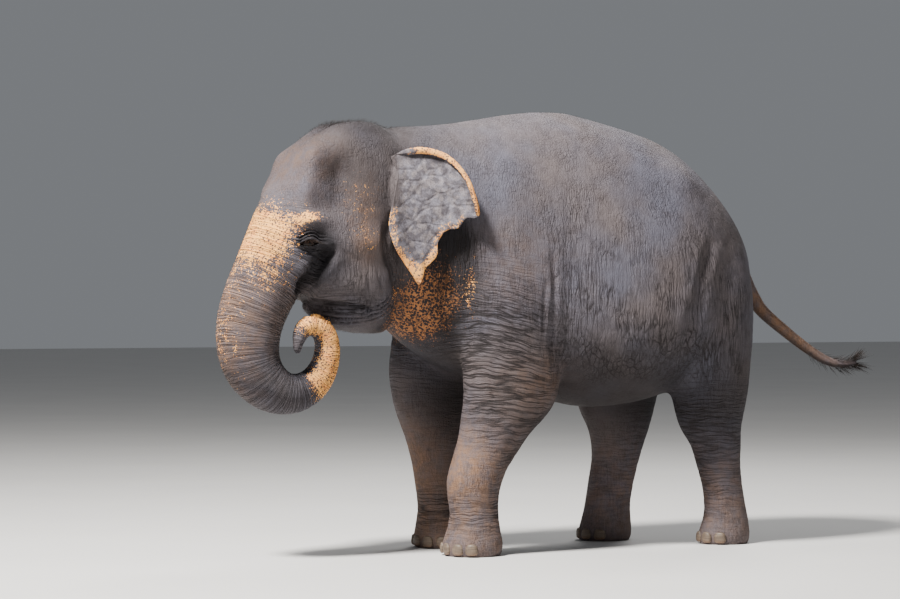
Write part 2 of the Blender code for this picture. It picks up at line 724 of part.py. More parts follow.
def leg_shell(side, front, back, inner_height, outer_height):
    """A thin-walled box round a leg, whose roof climbs from the armpit or groin to the outer side."""
    bm = bmesh.new()
    inner_x, outer_x, deep = LEG_BOX_X[0], LEG_BOX_X[1], -0.2
    climb = (outer_height - inner_height) / (outer_x - inner_x)
    for shrink in (0.0, GAP):
        corners = []
        for x in (inner_x + shrink, outer_x - shrink):
            roof = inner_height + climb * (x - inner_x) - 2 * shrink
            for y in (front + shrink, back - shrink):
                for z in (deep + shrink, roof):
                    corners.append(bm.verts.new((side * x, y, z)))
        for face in ((0, 1, 3, 2), (4, 6, 7, 5), (0, 4, 5, 1), (2, 3, 7, 6), (0, 2, 6, 4), (1, 5, 7, 3)):
            made = bm.faces.new([corners[i] for i in face])
            if (shrink > 0) == (side > 0):
                made.normal_flip()
    mesh = bpy.data.meshes.new("cut_leg")
    bm.to_mesh(mesh)
    bm.free()
    shell = object_from("cut_leg", mesh, cutters)
    shell.display_type = "WIRE"
    return shell


def cut_apart(item, cuts):
    for cut in cuts:
        boolean(item, cut, "DIFFERENCE")
        bpy.data.objects.remove(cut, do_unlink=True)


def split(item, names):
    """Splits the cut item into its loose pieces and names each by the anchor it lies nearest to."""
    bpy.ops.object.select_all(action="DESELECT")
    item.select_set(True)
    bpy.context.view_layer.objects.active = item
    bpy.ops.mesh.separate(type="LOOSE")
    pieces = list(bpy.context.selected_objects)
    print("pieces:", len(pieces), "for", len(names), "names")
    named = {}
    for name in names:
        anchor = np.array(ANCHORS[name])
        nearest = min(pieces, key=lambda piece: ((points_of(piece) - anchor) ** 2).sum(axis=1).min())
        pieces.remove(nearest)
        nearest.name = name
        nearest.data.name = name
        named[name] = nearest
    return named


def turn_head(co):
    """Turns all that is ahead of the neck towards the animal's left."""
    share = 1 - smooth_step(co[:, 1], *TURN_Y)
    angle = HEAD_TURN * share
    y = co[:, 1] - TURN_PIVOT_Y
    out = co.copy()
    out[:, 0] = co[:, 0] * np.cos(angle) - y * np.sin(angle)
    out[:, 1] = TURN_PIVOT_Y + co[:, 0] * np.sin(angle) + y * np.cos(angle)
    return out


def turned(item):
    put_points(item, turn_head(points_of(item)))
    return item


# ---- Making it --------------------------------------------------------------------------------
clear_scene()
parts = new_collection("asian_elephant")
cutters = new_collection("cutters", hidden=True)
flesh = crude_flesh(parts)
fuse(flesh)
relax(flesh, 6, 0.5)
ease_joins(flesh)
push_swellings(flesh)
relax(flesh, 2, 0.5)
flatten_soles(flesh)
head_side = points_of(flesh)[:, 1] < HEAD_SIDE_Y
flesh.data.calc_loop_triangles()
head_share = int(len(flesh.data.loop_triangles) * head_side.mean())
thin_out(flesh, "body", ~head_side, head_share + BODY_TRIANGLES)
thin_out(flesh, "head", points_of(flesh)[:, 1] < HEAD_SIDE_Y, BODY_TRIANGLES + HEAD_TRIANGLES)
print("flesh:", len(flesh.data.polygons), "faces")
turned(flesh)
cut_apart(flesh, [turned(disc(row, reach)) for row, reach in TRUNK_CUTS])
cut_apart(flesh, [leg_shell(*box) for box in LEG_BOXES])
limbs = [name for name in ANCHORS if name.startswith(("trunk", "leg"))]
named = split(flesh, ["torso"] + limbs)
cut_apart(named["torso"], [slab(HEAD_CUT_Y, HEAD_CUT_TILT), slab(NECK_CUT_Y, NECK_CUT_TILT)])
named.update(split(named["torso"], ["torso", "neck", "head"]))

named["ear_left"] = join_solids("ear_left", [ear_sheet(parts), ear_rim(parts), ear_root(parts)])
named["ear_right"] = mirrored(named["ear_left"], "ear_right", parts)
named["eye_left"] = ellipsoid("eye_left", EYE_CENTRE, (EYE_RADIUS,) * 3, 0.0, EYE_SIDES, parts)
named["eye_right"] = mirrored(named["eye_left"], "eye_right", parts)
named["tail"] = tail_tube(parts)
cut_free(named["torso"], named["tail"])
for hanger in ("ear_left", "ear_right", "eye_left", "eye_right"):
    cut_free(named["head"], turned(named[hanger]))
for foot, rows, side, bearings in FEET:
    for nail in nails_of(foot, rows, side, bearings, parts):
        cut_free(named["leg_" + foot], turned(nail))
        named[nail.name] = nail

low = np.min([points_of(item).min(axis=0) for item in named.values()], axis=0)
high = np.max([points_of(item).max(axis=0) for item in named.values()], axis=0)
ORIGIN_SHIFT = (-(low[0] + high[0]) / 2, -(low[1] + high[1]) / 2, 0.0)
FINISHES = {
    "skin": material("elephant_skin", "skin"),
    "ear_skin": material("ear_skin", "ear_skin"),
    "eye": material("eye", "eye"),
    "nail": material("toenail", "nail"),
}
for name, item in named.items():
    put_points(item, points_of(item) + np.array(ORIGIN_SHIFT))
    kind = name.split("_")[0]
    finish = {"ear": "ear_skin", "eye": "eye", "nail": "nail"}.get(kind, "skin")
    item.data.materials.clear()
    item.data.materials.append(FINISHES[finish])
    item.data.calc_loop_triangles()
counts = {name: len(item.data.loop_triangles) for name, item in named.items()}
print("size", np.round(high - low, 4), "triangles", sum(counts.values()), counts)
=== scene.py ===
# %% [markdown]
# # An Asian elephant cow, life size
#
# A museum elephant is one closed skin over hidden armature: nothing on it is bolted on except the
# glass eyes, the horn nails and the hair. The lesson follows that order. The skin is lofted from
# stations, fused, worked over like clay and given its wrinkles; then come eyes, nails and hair,
# then the paint, and last the studio.
#
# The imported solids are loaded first.

# %% Load the frame
import math

import bmesh
import bpy
import numpy as np
from mathutils import Matrix, Vector, noise


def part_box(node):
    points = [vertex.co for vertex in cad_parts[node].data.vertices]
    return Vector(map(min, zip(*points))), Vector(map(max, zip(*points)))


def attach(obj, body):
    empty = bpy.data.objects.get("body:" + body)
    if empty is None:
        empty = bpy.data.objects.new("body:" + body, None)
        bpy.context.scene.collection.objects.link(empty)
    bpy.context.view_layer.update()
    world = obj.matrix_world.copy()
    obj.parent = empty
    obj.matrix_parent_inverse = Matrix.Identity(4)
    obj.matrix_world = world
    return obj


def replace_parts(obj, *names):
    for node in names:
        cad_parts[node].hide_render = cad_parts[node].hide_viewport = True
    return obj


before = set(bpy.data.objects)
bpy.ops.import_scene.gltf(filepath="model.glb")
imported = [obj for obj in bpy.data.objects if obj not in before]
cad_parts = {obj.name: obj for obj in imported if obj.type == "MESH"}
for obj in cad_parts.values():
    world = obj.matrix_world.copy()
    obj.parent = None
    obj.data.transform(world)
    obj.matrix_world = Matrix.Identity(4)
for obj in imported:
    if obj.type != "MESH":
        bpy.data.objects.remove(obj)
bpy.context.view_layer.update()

# %% [markdown]
# ## Stations
#
# An elephant is easiest to measure in slices, as a taxidermist does. The barrel is a row of
# upright slices, the head a stack of level ones, and each leg, the trunk and the tail a row of
# slices along a path. All are given with the head looking straight ahead along -Y; the head is
# turned later.

# %% Stations of the barrel and the head
# Barrel and neck: y, top, bottom, half width, height of the widest line.
TORSO = (
    (-1.06, 2.215, 1.46, 0.225, 1.86),
    (-0.93, 2.272, 1.27, 0.262, 1.8),
    (-0.8, 2.288, 1.15, 0.3, 1.72),
    (-0.65, 2.294, 1.05, 0.345, 1.62),
    (-0.5, 2.308, 0.98, 0.395, 1.55),
    (-0.34, 2.332, 0.93, 0.435, 1.48),
    (-0.16, 2.36, 0.9, 0.46, 1.44),
    (0.02, 2.378, 0.84, 0.485, 1.4),
    (0.2, 2.378, 0.785, 0.515, 1.36),
    (0.38, 2.346, 0.765, 0.55, 1.33),
    (0.58, 2.3, 0.78, 0.565, 1.34),
    (0.76, 2.242, 0.82, 0.545, 1.39),
    (0.92, 2.145, 0.88, 0.495, 1.45),
    (1.07, 2.012, 0.96, 0.42, 1.48),
    (1.19, 1.88, 1.05, 0.34, 1.47),
    (1.285, 1.745, 1.14, 0.24, 1.44),
    (1.34, 1.6, 1.27, 0.12, 1.41),
)
# Head: z, front, back, half width, y of the widest line.
HEAD = (
    (2.262, -1.26, -0.93, 0.15, -1.1),
    (2.2, -1.375, -0.83, 0.222, -1.08),
    (2.12, -1.455, -0.77, 0.256, -1.06),
    (2.02, -1.525, -0.72, 0.274, -1.06),
    (1.92, -1.59, -0.7, 0.282, -1.08),
    (1.82, -1.635, -0.7, 0.286, -1.13),
    (1.72, -1.66, -0.72, 0.29, -1.19),
    (1.64, -1.665, -0.75, 0.293, -1.21),
    (1.55, -1.64, -0.79, 0.29, -1.2),
    (1.46, -1.54, -0.83, 0.282, -1.14),
    (1.38, -1.425, -0.87, 0.266, -1.08),
    (1.3, -1.245, -0.9, 0.232, -1.05),
    (1.23, -1.15, -0.92, 0.18, -1.03),
    (1.18, -1.08, -0.95, 0.11, -1.02),
)
# Lower jaw, a tube: x, y, z, half width, half depth.
JAW = (
    (0.0, -0.96, 1.345, 0.215, 0.175),
    (0.0, -1.06, 1.32, 0.208, 0.145),
    (0.0, -1.15, 1.3, 0.18, 0.112),
    (0.0, -1.22, 1.29, 0.135, 0.082),
    (0.0, -1.28, 1.298, 0.086, 0.056),
    (0.0, -1.34, 1.312, 0.05, 0.038),
    (0.0, -1.39, 1.332, 0.03, 0.025),
)

# %% Stations of the trunk, the legs and the tail
# Trunk, from inside the forehead to the finger: x, y, z, half width, half depth.
TRUNK = (
    (0.0, -1.32, 1.98, 0.15, 0.15),
    (0.0, -1.4, 1.86, 0.18, 0.19),
    (0.0, -1.455, 1.75, 0.19, 0.21),
    (0.0, -1.515, 1.63, 0.188, 0.205),
    (0.0, -1.575, 1.52, 0.182, 0.195),
    (0.0, -1.64, 1.4, 0.176, 0.186),
    (0.0, -1.692, 1.28, 0.169, 0.178),
    (0.002, -1.716, 1.16, 0.163, 0.169),
    (0.006, -1.705, 1.05, 0.156, 0.158),
    (0.014, -1.66, 0.96, 0.146, 0.143),
    (0.026, -1.58, 0.892, 0.131, 0.126),
    (0.042, -1.49, 0.868, 0.115, 0.109),
    (0.062, -1.41, 0.888, 0.1, 0.095),
    (0.085, -1.345, 0.95, 0.087, 0.083),
    (0.104, -1.312, 1.03, 0.077, 0.073),
    (0.118, -1.308, 1.11, 0.07, 0.068),
    (0.126, -1.326, 1.176, 0.066, 0.063),
    (0.13, -1.37, 1.218, 0.062, 0.06),
    (0.13, -1.425, 1.226, 0.058, 0.055),
    (0.13, -1.468, 1.198, 0.05, 0.047),
    (0.128, -1.486, 1.148, 0.04, 0.035),
    (0.126, -1.492, 1.1, 0.03, 0.024),
    (0.126, -1.494, 1.064, 0.018, 0.014),
)
# Legs, from the sole up: z, x, y, half width, half length.  x is outwards from the midline.
FRONT_LEG_LEFT = (
    (0.0, 0.265, -0.495, 0.158, 0.16),
    (0.06, 0.265, -0.492, 0.164, 0.166),
    (0.14, 0.265, -0.485, 0.142, 0.144),
    (0.22, 0.265, -0.482, 0.13, 0.132),
    (0.3, 0.264, -0.488, 0.134, 0.139),
    (0.39, 0.262, -0.48, 0.143, 0.152),
    (0.47, 0.26, -0.448, 0.148, 0.162),
    (0.56, 0.26, -0.4, 0.152, 0.18),
    (0.65, 0.262, -0.352, 0.158, 0.204),
    (0.73, 0.264, -0.305, 0.166, 0.242),
    (0.82, 0.266, -0.266, 0.175, 0.268),
    (0.93, 0.268, -0.256, 0.184, 0.28),
    (1.06, 0.268, -0.268, 0.192, 0.28),
    (1.25, 0.264, -0.29, 0.196, 0.285),
    (1.48, 0.252, -0.3, 0.19, 0.27),
    (1.72, 0.226, -0.28, 0.15, 0.22),
    (1.95, 0.18, -0.23, 0.09, 0.14),
)
FRONT_LEG_RIGHT = (
    (0.0, 0.255, -0.4, 0.158, 0.16),
    (0.06, 0.255, -0.402, 0.164, 0.166),
    (0.14, 0.255, -0.41, 0.142, 0.144),
    (0.22, 0.255, -0.412, 0.13, 0.134),
    (0.3, 0.255, -0.415, 0.134, 0.14),
    (0.39, 0.255, -0.418, 0.143, 0.15),
    (0.47, 0.255, -0.422, 0.148, 0.16),
    (0.56, 0.257, -0.428, 0.152, 0.178),
    (0.65, 0.26, -0.432, 0.158, 0.202),
    (0.73, 0.263, -0.43, 0.166, 0.232),
    (0.82, 0.266, -0.426, 0.175, 0.258),
    (0.93, 0.268, -0.425, 0.184, 0.275),
    (1.06, 0.268, -0.415, 0.192, 0.28),
    (1.25, 0.264, -0.385, 0.196, 0.285),
    (1.48, 0.252, -0.35, 0.19, 0.27),
    (1.72, 0.226, -0.3, 0.15, 0.22),
    (1.95, 0.18, -0.23, 0.09, 0.14),
)
HIND_LEG_LEFT = (
    (0.0, 0.25, 1.098, 0.128, 0.148),
    (0.06, 0.25, 1.1, 0.13, 0.15),
    (0.14, 0.25, 1.11, 0.118, 0.13),
    (0.22, 0.25, 1.104, 0.108, 0.12),
    (0.32, 0.25, 1.088, 0.106, 0.117),
    (0.45, 0.25, 1.061, 0.112, 0.13),
    (0.55, 0.25, 1.046, 0.122, 0.15),
    (0.64, 0.252, 1.012, 0.138, 0.18),
    (0.73, 0.256, 1.002, 0.154, 0.206),
    (0.85, 0.262, 0.996, 0.172, 0.232),
    (1.0, 0.268, 0.975, 0.19, 0.264),
    (1.2, 0.272, 0.945, 0.206, 0.31),
    (1.45, 0.264, 0.92, 0.21, 0.33),
    (1.7, 0.236, 0.9, 0.18, 0.29),
    (1.95, 0.17, 0.86, 0.11, 0.17),
)
HIND_LEG_RIGHT = (
    (0.0, 0.25, 0.62, 0.13, 0.154),
    (0.06, 0.25, 0.624, 0.132, 0.158),
    (0.14, 0.25, 0.632, 0.122, 0.142),
    (0.22, 0.25, 0.642, 0.116, 0.134),
    (0.32, 0.25, 0.66, 0.116, 0.136),
    (0.45, 0.25, 0.69, 0.12, 0.142),
    (0.55, 0.25, 0.706, 0.13, 0.16),
    (0.64, 0.252, 0.712, 0.142, 0.19),
    (0.73, 0.256, 0.705, 0.156, 0.228),
    (0.85, 0.262, 0.71, 0.172, 0.262),
    (1.0, 0.268, 0.75, 0.19, 0.295),
    (1.2, 0.272, 0.82, 0.206, 0.325),
    (1.45, 0.264, 0.87, 0.21, 0.34),
    (1.7, 0.236, 0.88, 0.18, 0.29),
    (1.95, 0.17, 0.86, 0.11, 0.17),
)
LEGS = (
    ("front_left", FRONT_LEG_LEFT, 1),
    ("front_right", FRONT_LEG_RIGHT, -1),
    ("hind_left", HIND_LEG_LEFT, 1),
    ("hind_right", HIND_LEG_RIGHT, -1),
)
# Tail: x, y, z, radius.
TAIL = (
    (0.0, 1.19, 1.8, 0.058),
    (0.005, 1.28, 1.7, 0.052),
    (0.012, 1.345, 1.57, 0.046),
    (0.022, 1.39, 1.46, 0.042),
    (0.035, 1.435, 1.37, 0.039),
    (0.05, 1.49, 1.29, 0.036),
    (0.09, 1.62, 1.175, 0.032),
    (0.12, 1.765, 1.068, 0.028),
    (0.14, 1.88, 1.005, 0.025),
    (0.155, 1.965, 0.99, 0.021),
    (0.17, 2.045, 1.0, 0.017),
)
print("stations:", len(TORSO) + len(HEAD) + len(JAW) + len(TRUNK) + len(TAIL), "and four legs")

# %% [markdown]
# ## Lofting and fusing the flesh
#
# Each row of stations becomes a closed tube. The tubes overlap deep inside each other, and a
# voxel remesh turns them into a single even skin, much as wet clay is pressed together.
# Smoothing, heavier where limbs meet the barrel, takes away the seams.

# %% Helpers for curves and lofts
RING_SIDES = 40
RING_PITCH = 0.045
TORSO_POWER = (2.08, 2.15)  # squareness above and below the widest line
HEAD_POWER = (2.5, 1.9)  # squareness in front of and behind it


def smooth_step(value, low, high):
    t = np.clip((value - low) / (high - low), 0.0, 1.0)
    return t * t * (3.0 - 2.0 * t)


def between(value, rise, fall):
    """0 before rise, 1 from its end to the start of fall, 0 after that."""
    return smooth_step(value, *rise) * (1 - smooth_step(value, *fall))


def bell(value, width):
    return np.exp(-((value / width) ** 2))


def catmull_rom(rows, pitch):
    """A smooth curve through rows of numbers, with points about a pitch apart.

    The pitch is measured in the first three columns.
    """
    rows = np.array(rows, float)
    ends = np.vstack([2 * rows[0] - rows[1], rows, 2 * rows[-1] - rows[-2]])
    out = []
    for i in range(1, len(ends) - 2):
        a, b, c, d = ends[i - 1 : i + 3]
        steps = max(1, int(math.ceil(np.linalg.norm((c - b)[:3]) / pitch)))
        for t in np.arange(steps) / steps:
            bend = (2 * a - 5 * b + 4 * c - d) * t**2 + (3 * b - a - 3 * c + d) * t**3
            out.append(0.5 * (2 * b + (c - a) * t + bend))
    out.append(rows[-1])
    return np.array(out)


def signed_power(value, power):
    return np.sign(value) * np.abs(value) ** power


def step_lengths(path):
    return np.linalg.norm(np.diff(path, axis=0), axis=1)


def run_along(path):
    """How far along the path each of its points lies."""
    return np.concatenate([[0.0], np.cumsum(step_lengths(path))])


def unit(rows):
    return rows / np.maximum(np.linalg.norm(rows, axis=1), 1e-9)[:, None]


def turn_angles(sides=RING_SIDES):
    return np.linspace(0, 2 * math.pi, sides, endpoint=False)


def slice_rings(rows, powers, upright):
    """Rings of a body given in slices: place, one edge, other edge, half width, widest line."""
    turn = turn_angles()
    first = np.sin(turn) > 0
    power = np.where(first, *powers)
    rings = []
    for place, edge, other, half, widest in catmull_rom(rows, RING_PITCH):
        x = half * signed_power(np.cos(turn), 2 / power)
        reach = np.where(first, edge - widest, widest - other)
        rise = widest + reach * signed_power(np.sin(turn), 2 / power)
        flat = np.full_like(x, place)
        rings.append(np.stack([x, flat, rise] if upright else [x, rise, flat], axis=1))
    return rings


def leg_rings(rows, side):
    turn = turn_angles()
    rings = []
    for z, x, y, half_width, half_length in catmull_rom(rows, RING_PITCH):
        across, along = half_width * np.cos(turn), half_length * np.sin(turn)
        rings.append(np.stack([side * x + across, y + along, np.full_like(turn, z)], axis=1))
    return rings


def tube_rings(rows, sides=RING_SIDES, pitch=RING_PITCH):
    """Rings square to a path: x, y, z, half width, half depth."""
    path = catmull_rom(rows, pitch)
    way = np.gradient(path[:, :3], axis=0)
    turn = turn_angles(sides)
    rings = []
    for (x, y, z, half_width, half_depth), direction in zip(path, way):
        tangent = Vector(direction).normalized()
        across = (Vector((1, 0, 0)) - tangent * tangent.x).normalized()
        outward = across.cross(tangent)
        side = np.outer(np.cos(turn) * half_width, across)
        rings.append(np.array([x, y, z]) + side + np.outer(np.sin(turn) * half_depth, outward))
    return rings


# %% Helpers for meshes
def object_from(name, mesh):
    made = bpy.data.objects.new(name, mesh)
    bpy.context.scene.collection.objects.link(made)
    return made


def object_from_bmesh(name, bm, tidy=True):
    if tidy:
        bmesh.ops.recalc_face_normals(bm, faces=bm.faces)
    mesh = bpy.data.meshes.new(name)
    bm.to_mesh(mesh)
    bm.free()
    return object_from(name, mesh)


def loft(name, rings):
    """A closed body through rings of equally many points, with a fan at each end."""
    bm = bmesh.new()
    rows = [[bm.verts.new(p) for p in ring] for ring in rings]
    count = len(rows[0])
    for low, high in zip(rows, rows[1:]):
        for i in range(count):
            j = (i + 1) % count
            bm.faces.new((low[i], low[j], high[j], high[i]))
    for ring, points in ((rows[0], rings[0]), (rows[-1], rings[-1])):
        middle = bm.verts.new(np.mean(points, axis=0))
        for i in range(count):
            bm.faces.new((ring[i], ring[(i + 1) % count], middle))
    return object_from_bmesh(name, bm)


def settle(item):
    """Takes the evaluated mesh as the object's own and drops its modifiers."""
    graph = bpy.context.evaluated_depsgraph_get()
    mesh = bpy.data.meshes.new_from_object(item.evaluated_get(graph))
    item.modifiers.clear()
    item.data = mesh


def modify(item, kind, **settings):
    step = item.modifiers.new(kind.title(), kind)
    for name, value in settings.items():
        setattr(step, name, value)


def points_of(item, field="co"):
    values = np.empty(len(item.data.vertices) * 3)
    item.data.vertices.foreach_get(field, values)
    return values.reshape(-1, 3)


def normals_of(item):
    return points_of(item, "normal")


def put_points(item, co):
    item.data.vertices.foreach_set("co", np.ascontiguousarray(co, np.float32).ravel())
    item.data.update()


def opened(item):
    bm = bmesh.new()
    bm.from_mesh(item.data)
    return bm


def smoothed(item):
    for face in item.data.polygons:
        face.use_smooth = True
    return item


def joined(name, pieces):
    bm = bmesh.new()
    for piece in pieces:
        bm.from_mesh(piece.data)
        bpy.data.objects.remove(piece, do_unlink=True)
    return object_from_bmesh(name, bm)


def relax(item, rounds, factor, weights=None):
    """Smooths the whole surface, or each vertex by its weight."""
    if weights is not None:
        group = item.vertex_groups.new(name="eased")
        steps = np.round(weights, 1)
        for step in np.unique(steps[steps > 0]):
            group.add(np.flatnonzero(steps == step).tolist(), float(step), "REPLACE")
    where = "" if weights is None else "eased"
    modify(item, "SMOOTH", iterations=rounds, factor=factor, vertex_group=where)
    settle(item)
    item.vertex_groups.clear()


def spread(co, zone):
    """A soft weight, 1 at the zone's centre, on both sides of the midline.

    A zone is its centre and its reach along x, y and z, and then, if it needs one, an amount.
    """
    centre, reach = np.array(zone[:3]), np.array(zone[3:6])
    weight = np.zeros(len(co))
    for side in (1, -1) if zone[0] else (1,):
        away = (co - centre * (side, 1, 1)) / reach
        weight += np.exp(-(away**2).sum(axis=1))
    return weight


def zone_sum(co, zones):
    return sum(zone[6] * spread(co, zone) for zone in zones)


def zone_weight(co, zones):
    return np.clip(zone_sum(co, zones), 0.0, 1.0)


# %% Fuse the flesh
VOXEL = 0.018
EASE_ROUNDS = 60
# Zones where lofts meet and are eased into each other.
EASED = (
    (0.43, -0.34, 1.48, 0.3, 0.33, 0.42),  # shoulder into the barrel
    (0.46, 0.9, 1.5, 0.3, 0.38, 0.48),  # thigh into the rump
    (0.25, -0.8, 1.88, 0.2, 0.14, 0.45),  # skull into the neck
    (0.0, -0.84, 2.28, 0.2, 0.12, 0.14),  # nape
)
lofts = [
    loft("loft_torso", slice_rings(TORSO, TORSO_POWER, True)),
    loft("loft_head", slice_rings(HEAD, HEAD_POWER, False)),
    loft("loft_jaw", tube_rings(JAW)),
    loft("loft_trunk", tube_rings(TRUNK)),
]
lofts += [loft("loft_" + name, leg_rings(rows, side)) for name, rows, side in LEGS]
skin = joined("skin", lofts)
modify(skin, "REMESH", mode="VOXEL", voxel_size=VOXEL, adaptivity=0.0)
settle(skin)
relax(skin, 6, 0.5)
eased = sum(spread(points_of(skin), zone) for zone in EASED)
relax(skin, EASE_ROUNDS, 0.5, np.clip(1.3 * eased, 0.0, 1.0))
print("fused flesh:", len(skin.data.polygons), "faces")

# %% [markdown]
# ## Bones under the skin
#
# Domes of the crown, brow, cheek bone, shoulder blade, hip and stifle push the skin out; temple,
# flank and armpit draw it in. Each push is a soft round weight times a distance along the normal.

# %% Push out bones and draw in hollows
SWELLINGS = (  # the amount is the push in metres
    (0.11, -1.11, 2.29, 0.1, 0.17, 0.12, 0.04),  # twin domes of the crown
    (0.0, -1.15, 2.3, 0.036, 0.19, 0.11, -0.036),  # groove between the domes
    (0.165, -1.42, 2.09, 0.042, 0.065, 0.11, 0.044),  # frontal ridge, top
    (0.205, -1.48, 1.93, 0.04, 0.062, 0.12, 0.042),  # frontal ridge, middle
    (0.262, -1.3, 2.02, 0.08, 0.08, 0.11, -0.062),  # temple hollow
    (0.262, -1.33, 1.85, 0.07, 0.075, 0.08, -0.026),
    (0.255, -1.48, 1.762, 0.055, 0.1, 0.04, 0.04),  # brow over the eye
    (0.27, -1.42, 1.57, 0.06, 0.07, 0.06, -0.014),  # hollow under the eye
    (0.29, -1.19, 1.65, 0.06, 0.16, 0.07, 0.024),  # cheek bone
    (0.27, -1.14, 1.44, 0.08, 0.16, 0.12, 0.026),  # chewing muscle
    (0.0, -1.56, 1.98, 0.11, 0.11, 0.13, -0.016),  # dish of the forehead
    (0.19, -1.56, 1.56, 0.05, 0.08, 0.09, 0.012),  # tusk sheath
    (0.0, 0.1, 2.4, 0.07, 0.9, 0.12, 0.01),  # ridge of the spine
    (0.35, -0.3, 1.9, 0.12, 0.12, 0.3, 0.014),  # shoulder blade
    (0.44, -0.4, 1.3, 0.12, 0.14, 0.2, 0.016),  # point of the shoulder
    (0.48, 0.0, 1.45, 0.12, 0.1, 0.35, -0.018),  # hollow behind the shoulder
    (0.4, 0.76, 2.02, 0.11, 0.13, 0.11, 0.024),  # hip bone
    (0.5, 0.5, 1.9, 0.16, 0.16, 0.16, -0.016),  # flank hollow
    (0.48, 0.82, 1.15, 0.12, 0.13, 0.18, 0.016),  # stifle
    (0.0, 1.38, 1.38, 0.06, 0.12, 0.24, -0.03),  # cleft under the tail
)
SOLE_CAP = 0.004


def pushed(item, pushes):
    co = points_of(item)
    put_points(item, co + normals_of(item) * zone_sum(co, pushes)[:, None])


def stand(item):
    """Flattens the soles onto the floor."""
    co = points_of(item)
    co[co[:, 2] < SOLE_CAP, 2] = 0.0
    put_points(item, co)


pushed(skin, SWELLINGS)
relax(skin, 2, 0.5)
stand(skin)
modify(skin, "SUBSURF", levels=1, render_levels=1)
settle(skin)
stand(skin)
print("finer skin:", len(skin.data.polygons), "faces")

# %% [markdown]
# ## Folds in the face and body
#
# Skin folds where it is slack or often bent. The big ones are real shape: the valley from the eye
# down to the corner of the mouth, the mouth line with its row of parallel folds, the pleats of
# armpit and thigh, the rings of the trunk. They are cut as soft grooves along short paths drawn
# on the side view, and as banded ripples; the fine creases come later, in the paint.

# %% A groove along a path in the side view
def distance_to(path, flat):
    """Distance from points to a path in the y-z plane, and how far along the path, 0 to 1."""
    path = np.array(path, float)
    lengths, starts = step_lengths(path), run_along(path)
    best = np.full(len(flat), 1e9)
    share = np.zeros(len(flat))
    for a, b, length, start in zip(path, path[1:], lengths, starts):
        t = np.clip(((flat - a) @ (b - a)) / length**2, 0.0, 1.0)
        away = np.linalg.norm(flat - (a + t[:, None] * (b - a)), axis=1)
        nearer = away < best
        best = np.where(nearer, away, best)
        share = np.where(nearer, (start + t * length) / starts[-1], share)
    return best, share


WOBBLE = 0.35  # how far a groove strays from its path, in widths


def groove(co, path, width, depth, side=0, least_x=0.05):
    """How far in each point goes for a groove; side 1 or -1 keeps it to one flank."""
    flat = catmull_rom([(y, z, 0.0) for y, z in path], 0.02)[:, :2]
    away, share = distance_to(flat, co[:, 1:])
    away = np.abs(away + WOBBLE * width * noise_at(co, (9, 9, 9), 40.0 * width))
    ends = np.clip(np.minimum(share, 1 - share) * 8.0, 0.0, 1.0) ** 0.5
    out = np.abs(co[:, 0]) if side == 0 else side * co[:, 0]
    here = smooth_step(out, least_x, least_x + 0.05)
    return here * ends * depth * (0.25 * bell(away - 2.0 * width, width) - bell(away, width))


def noise_at(co, scale, seed=0.0):
    """Smooth noise, about -1 to 1, at points scaled along x, y and z."""
    places = co * np.array(scale) + seed
    return np.array([noise.noise(p) for p in places.tolist()])


def stored(item, name, values):
    """Keeps a number or a vector for each point of the item."""
    kind, field = ("FLOAT", "value") if values.ndim == 1 else ("FLOAT_VECTOR", "vector")
    layer = item.data.attributes.new(name, kind, "POINT")
    layer.data.foreach_set(field, np.ascontiguousarray(values, np.float32).ravel())


# %% Where the trunk runs
TRUNK_PITCH = 0.01
trunk_path = catmull_rom(TRUNK, TRUNK_PITCH)
trunk_way = unit(np.gradient(trunk_path[:, :3], axis=0))
trunk_length = run_along(trunk_path[:, :3])
trunk_across = unit(np.array([1.0, 0.0, 0.0]) - trunk_way * trunk_way[:, :1])
trunk_back = np.cross(trunk_across, trunk_way)
RINGS_START, RINGS_FULL = 0.12, 0.45  # along the trunk, in metres from its first station
TRUNK_SIDE_Y = -1.18  # nothing of the trunk lies behind this
TRUNK_CLOSE = (1.25, 1.7)  # distances, in the trunk's half widths, over which it ends
LEAST_RADIUS = 0.03
CHUNK = 4000  # points measured at a time


def trunk_place(co):
    """For each point: length along the trunk, offsets across and back, closeness 0 to 1."""
    along, across, back, close = np.zeros((4, len(co)))
    near = np.flatnonzero(co[:, 1] < TRUNK_SIDE_Y)
    for chunk in np.array_split(near, max(1, len(near) // CHUNK)):
        gap = co[chunk, None, :] - trunk_path[None, :, :3]
        size = np.linalg.norm(gap, axis=2) / np.maximum(trunk_path[None, :, 3], LEAST_RADIUS)
        i = size.argmin(axis=1)
        rel = co[chunk] - trunk_path[i, :3]
        step = (rel * trunk_way[i]).sum(axis=1)
        along[chunk] = trunk_length[i] + step
        across[chunk] = (rel * trunk_across[i]).sum(axis=1)
        back[chunk] = (rel * trunk_back[i]).sum(axis=1)
        close[chunk] = 1 - smooth_step(size.min(axis=1), *TRUNK_CLOSE)
    close *= smooth_step(along, RINGS_START, RINGS_FULL)
    return along, across, back, close


print("trunk length:", round(float(trunk_length[-1]), 3), "m")

# %% Finer faces round the eyes
PACKED_EYE = (0.229, -1.484, 1.652)  # the solid's centre, head straight
EYE_CENTRE = np.array(PACKED_EYE)
EYE_RADIUS = 0.039  # a little more than the solid, which lies bare
EYE_GAZE = np.array((0.957, -0.275, -0.09))
EYE_OUT = EYE_GAZE / np.linalg.norm(EYE_GAZE)  # the way it looks
EYE_SIDE = np.cross((0.0, 0.0, 1.0), EYE_OUT)
EYE_BACK = EYE_SIDE / np.linalg.norm(EYE_SIDE)
EYE_UP = np.cross(EYE_OUT, EYE_BACK)
EYE_ZONES = (0.135, 0.105, 0.07)  # radii that are each halved once more


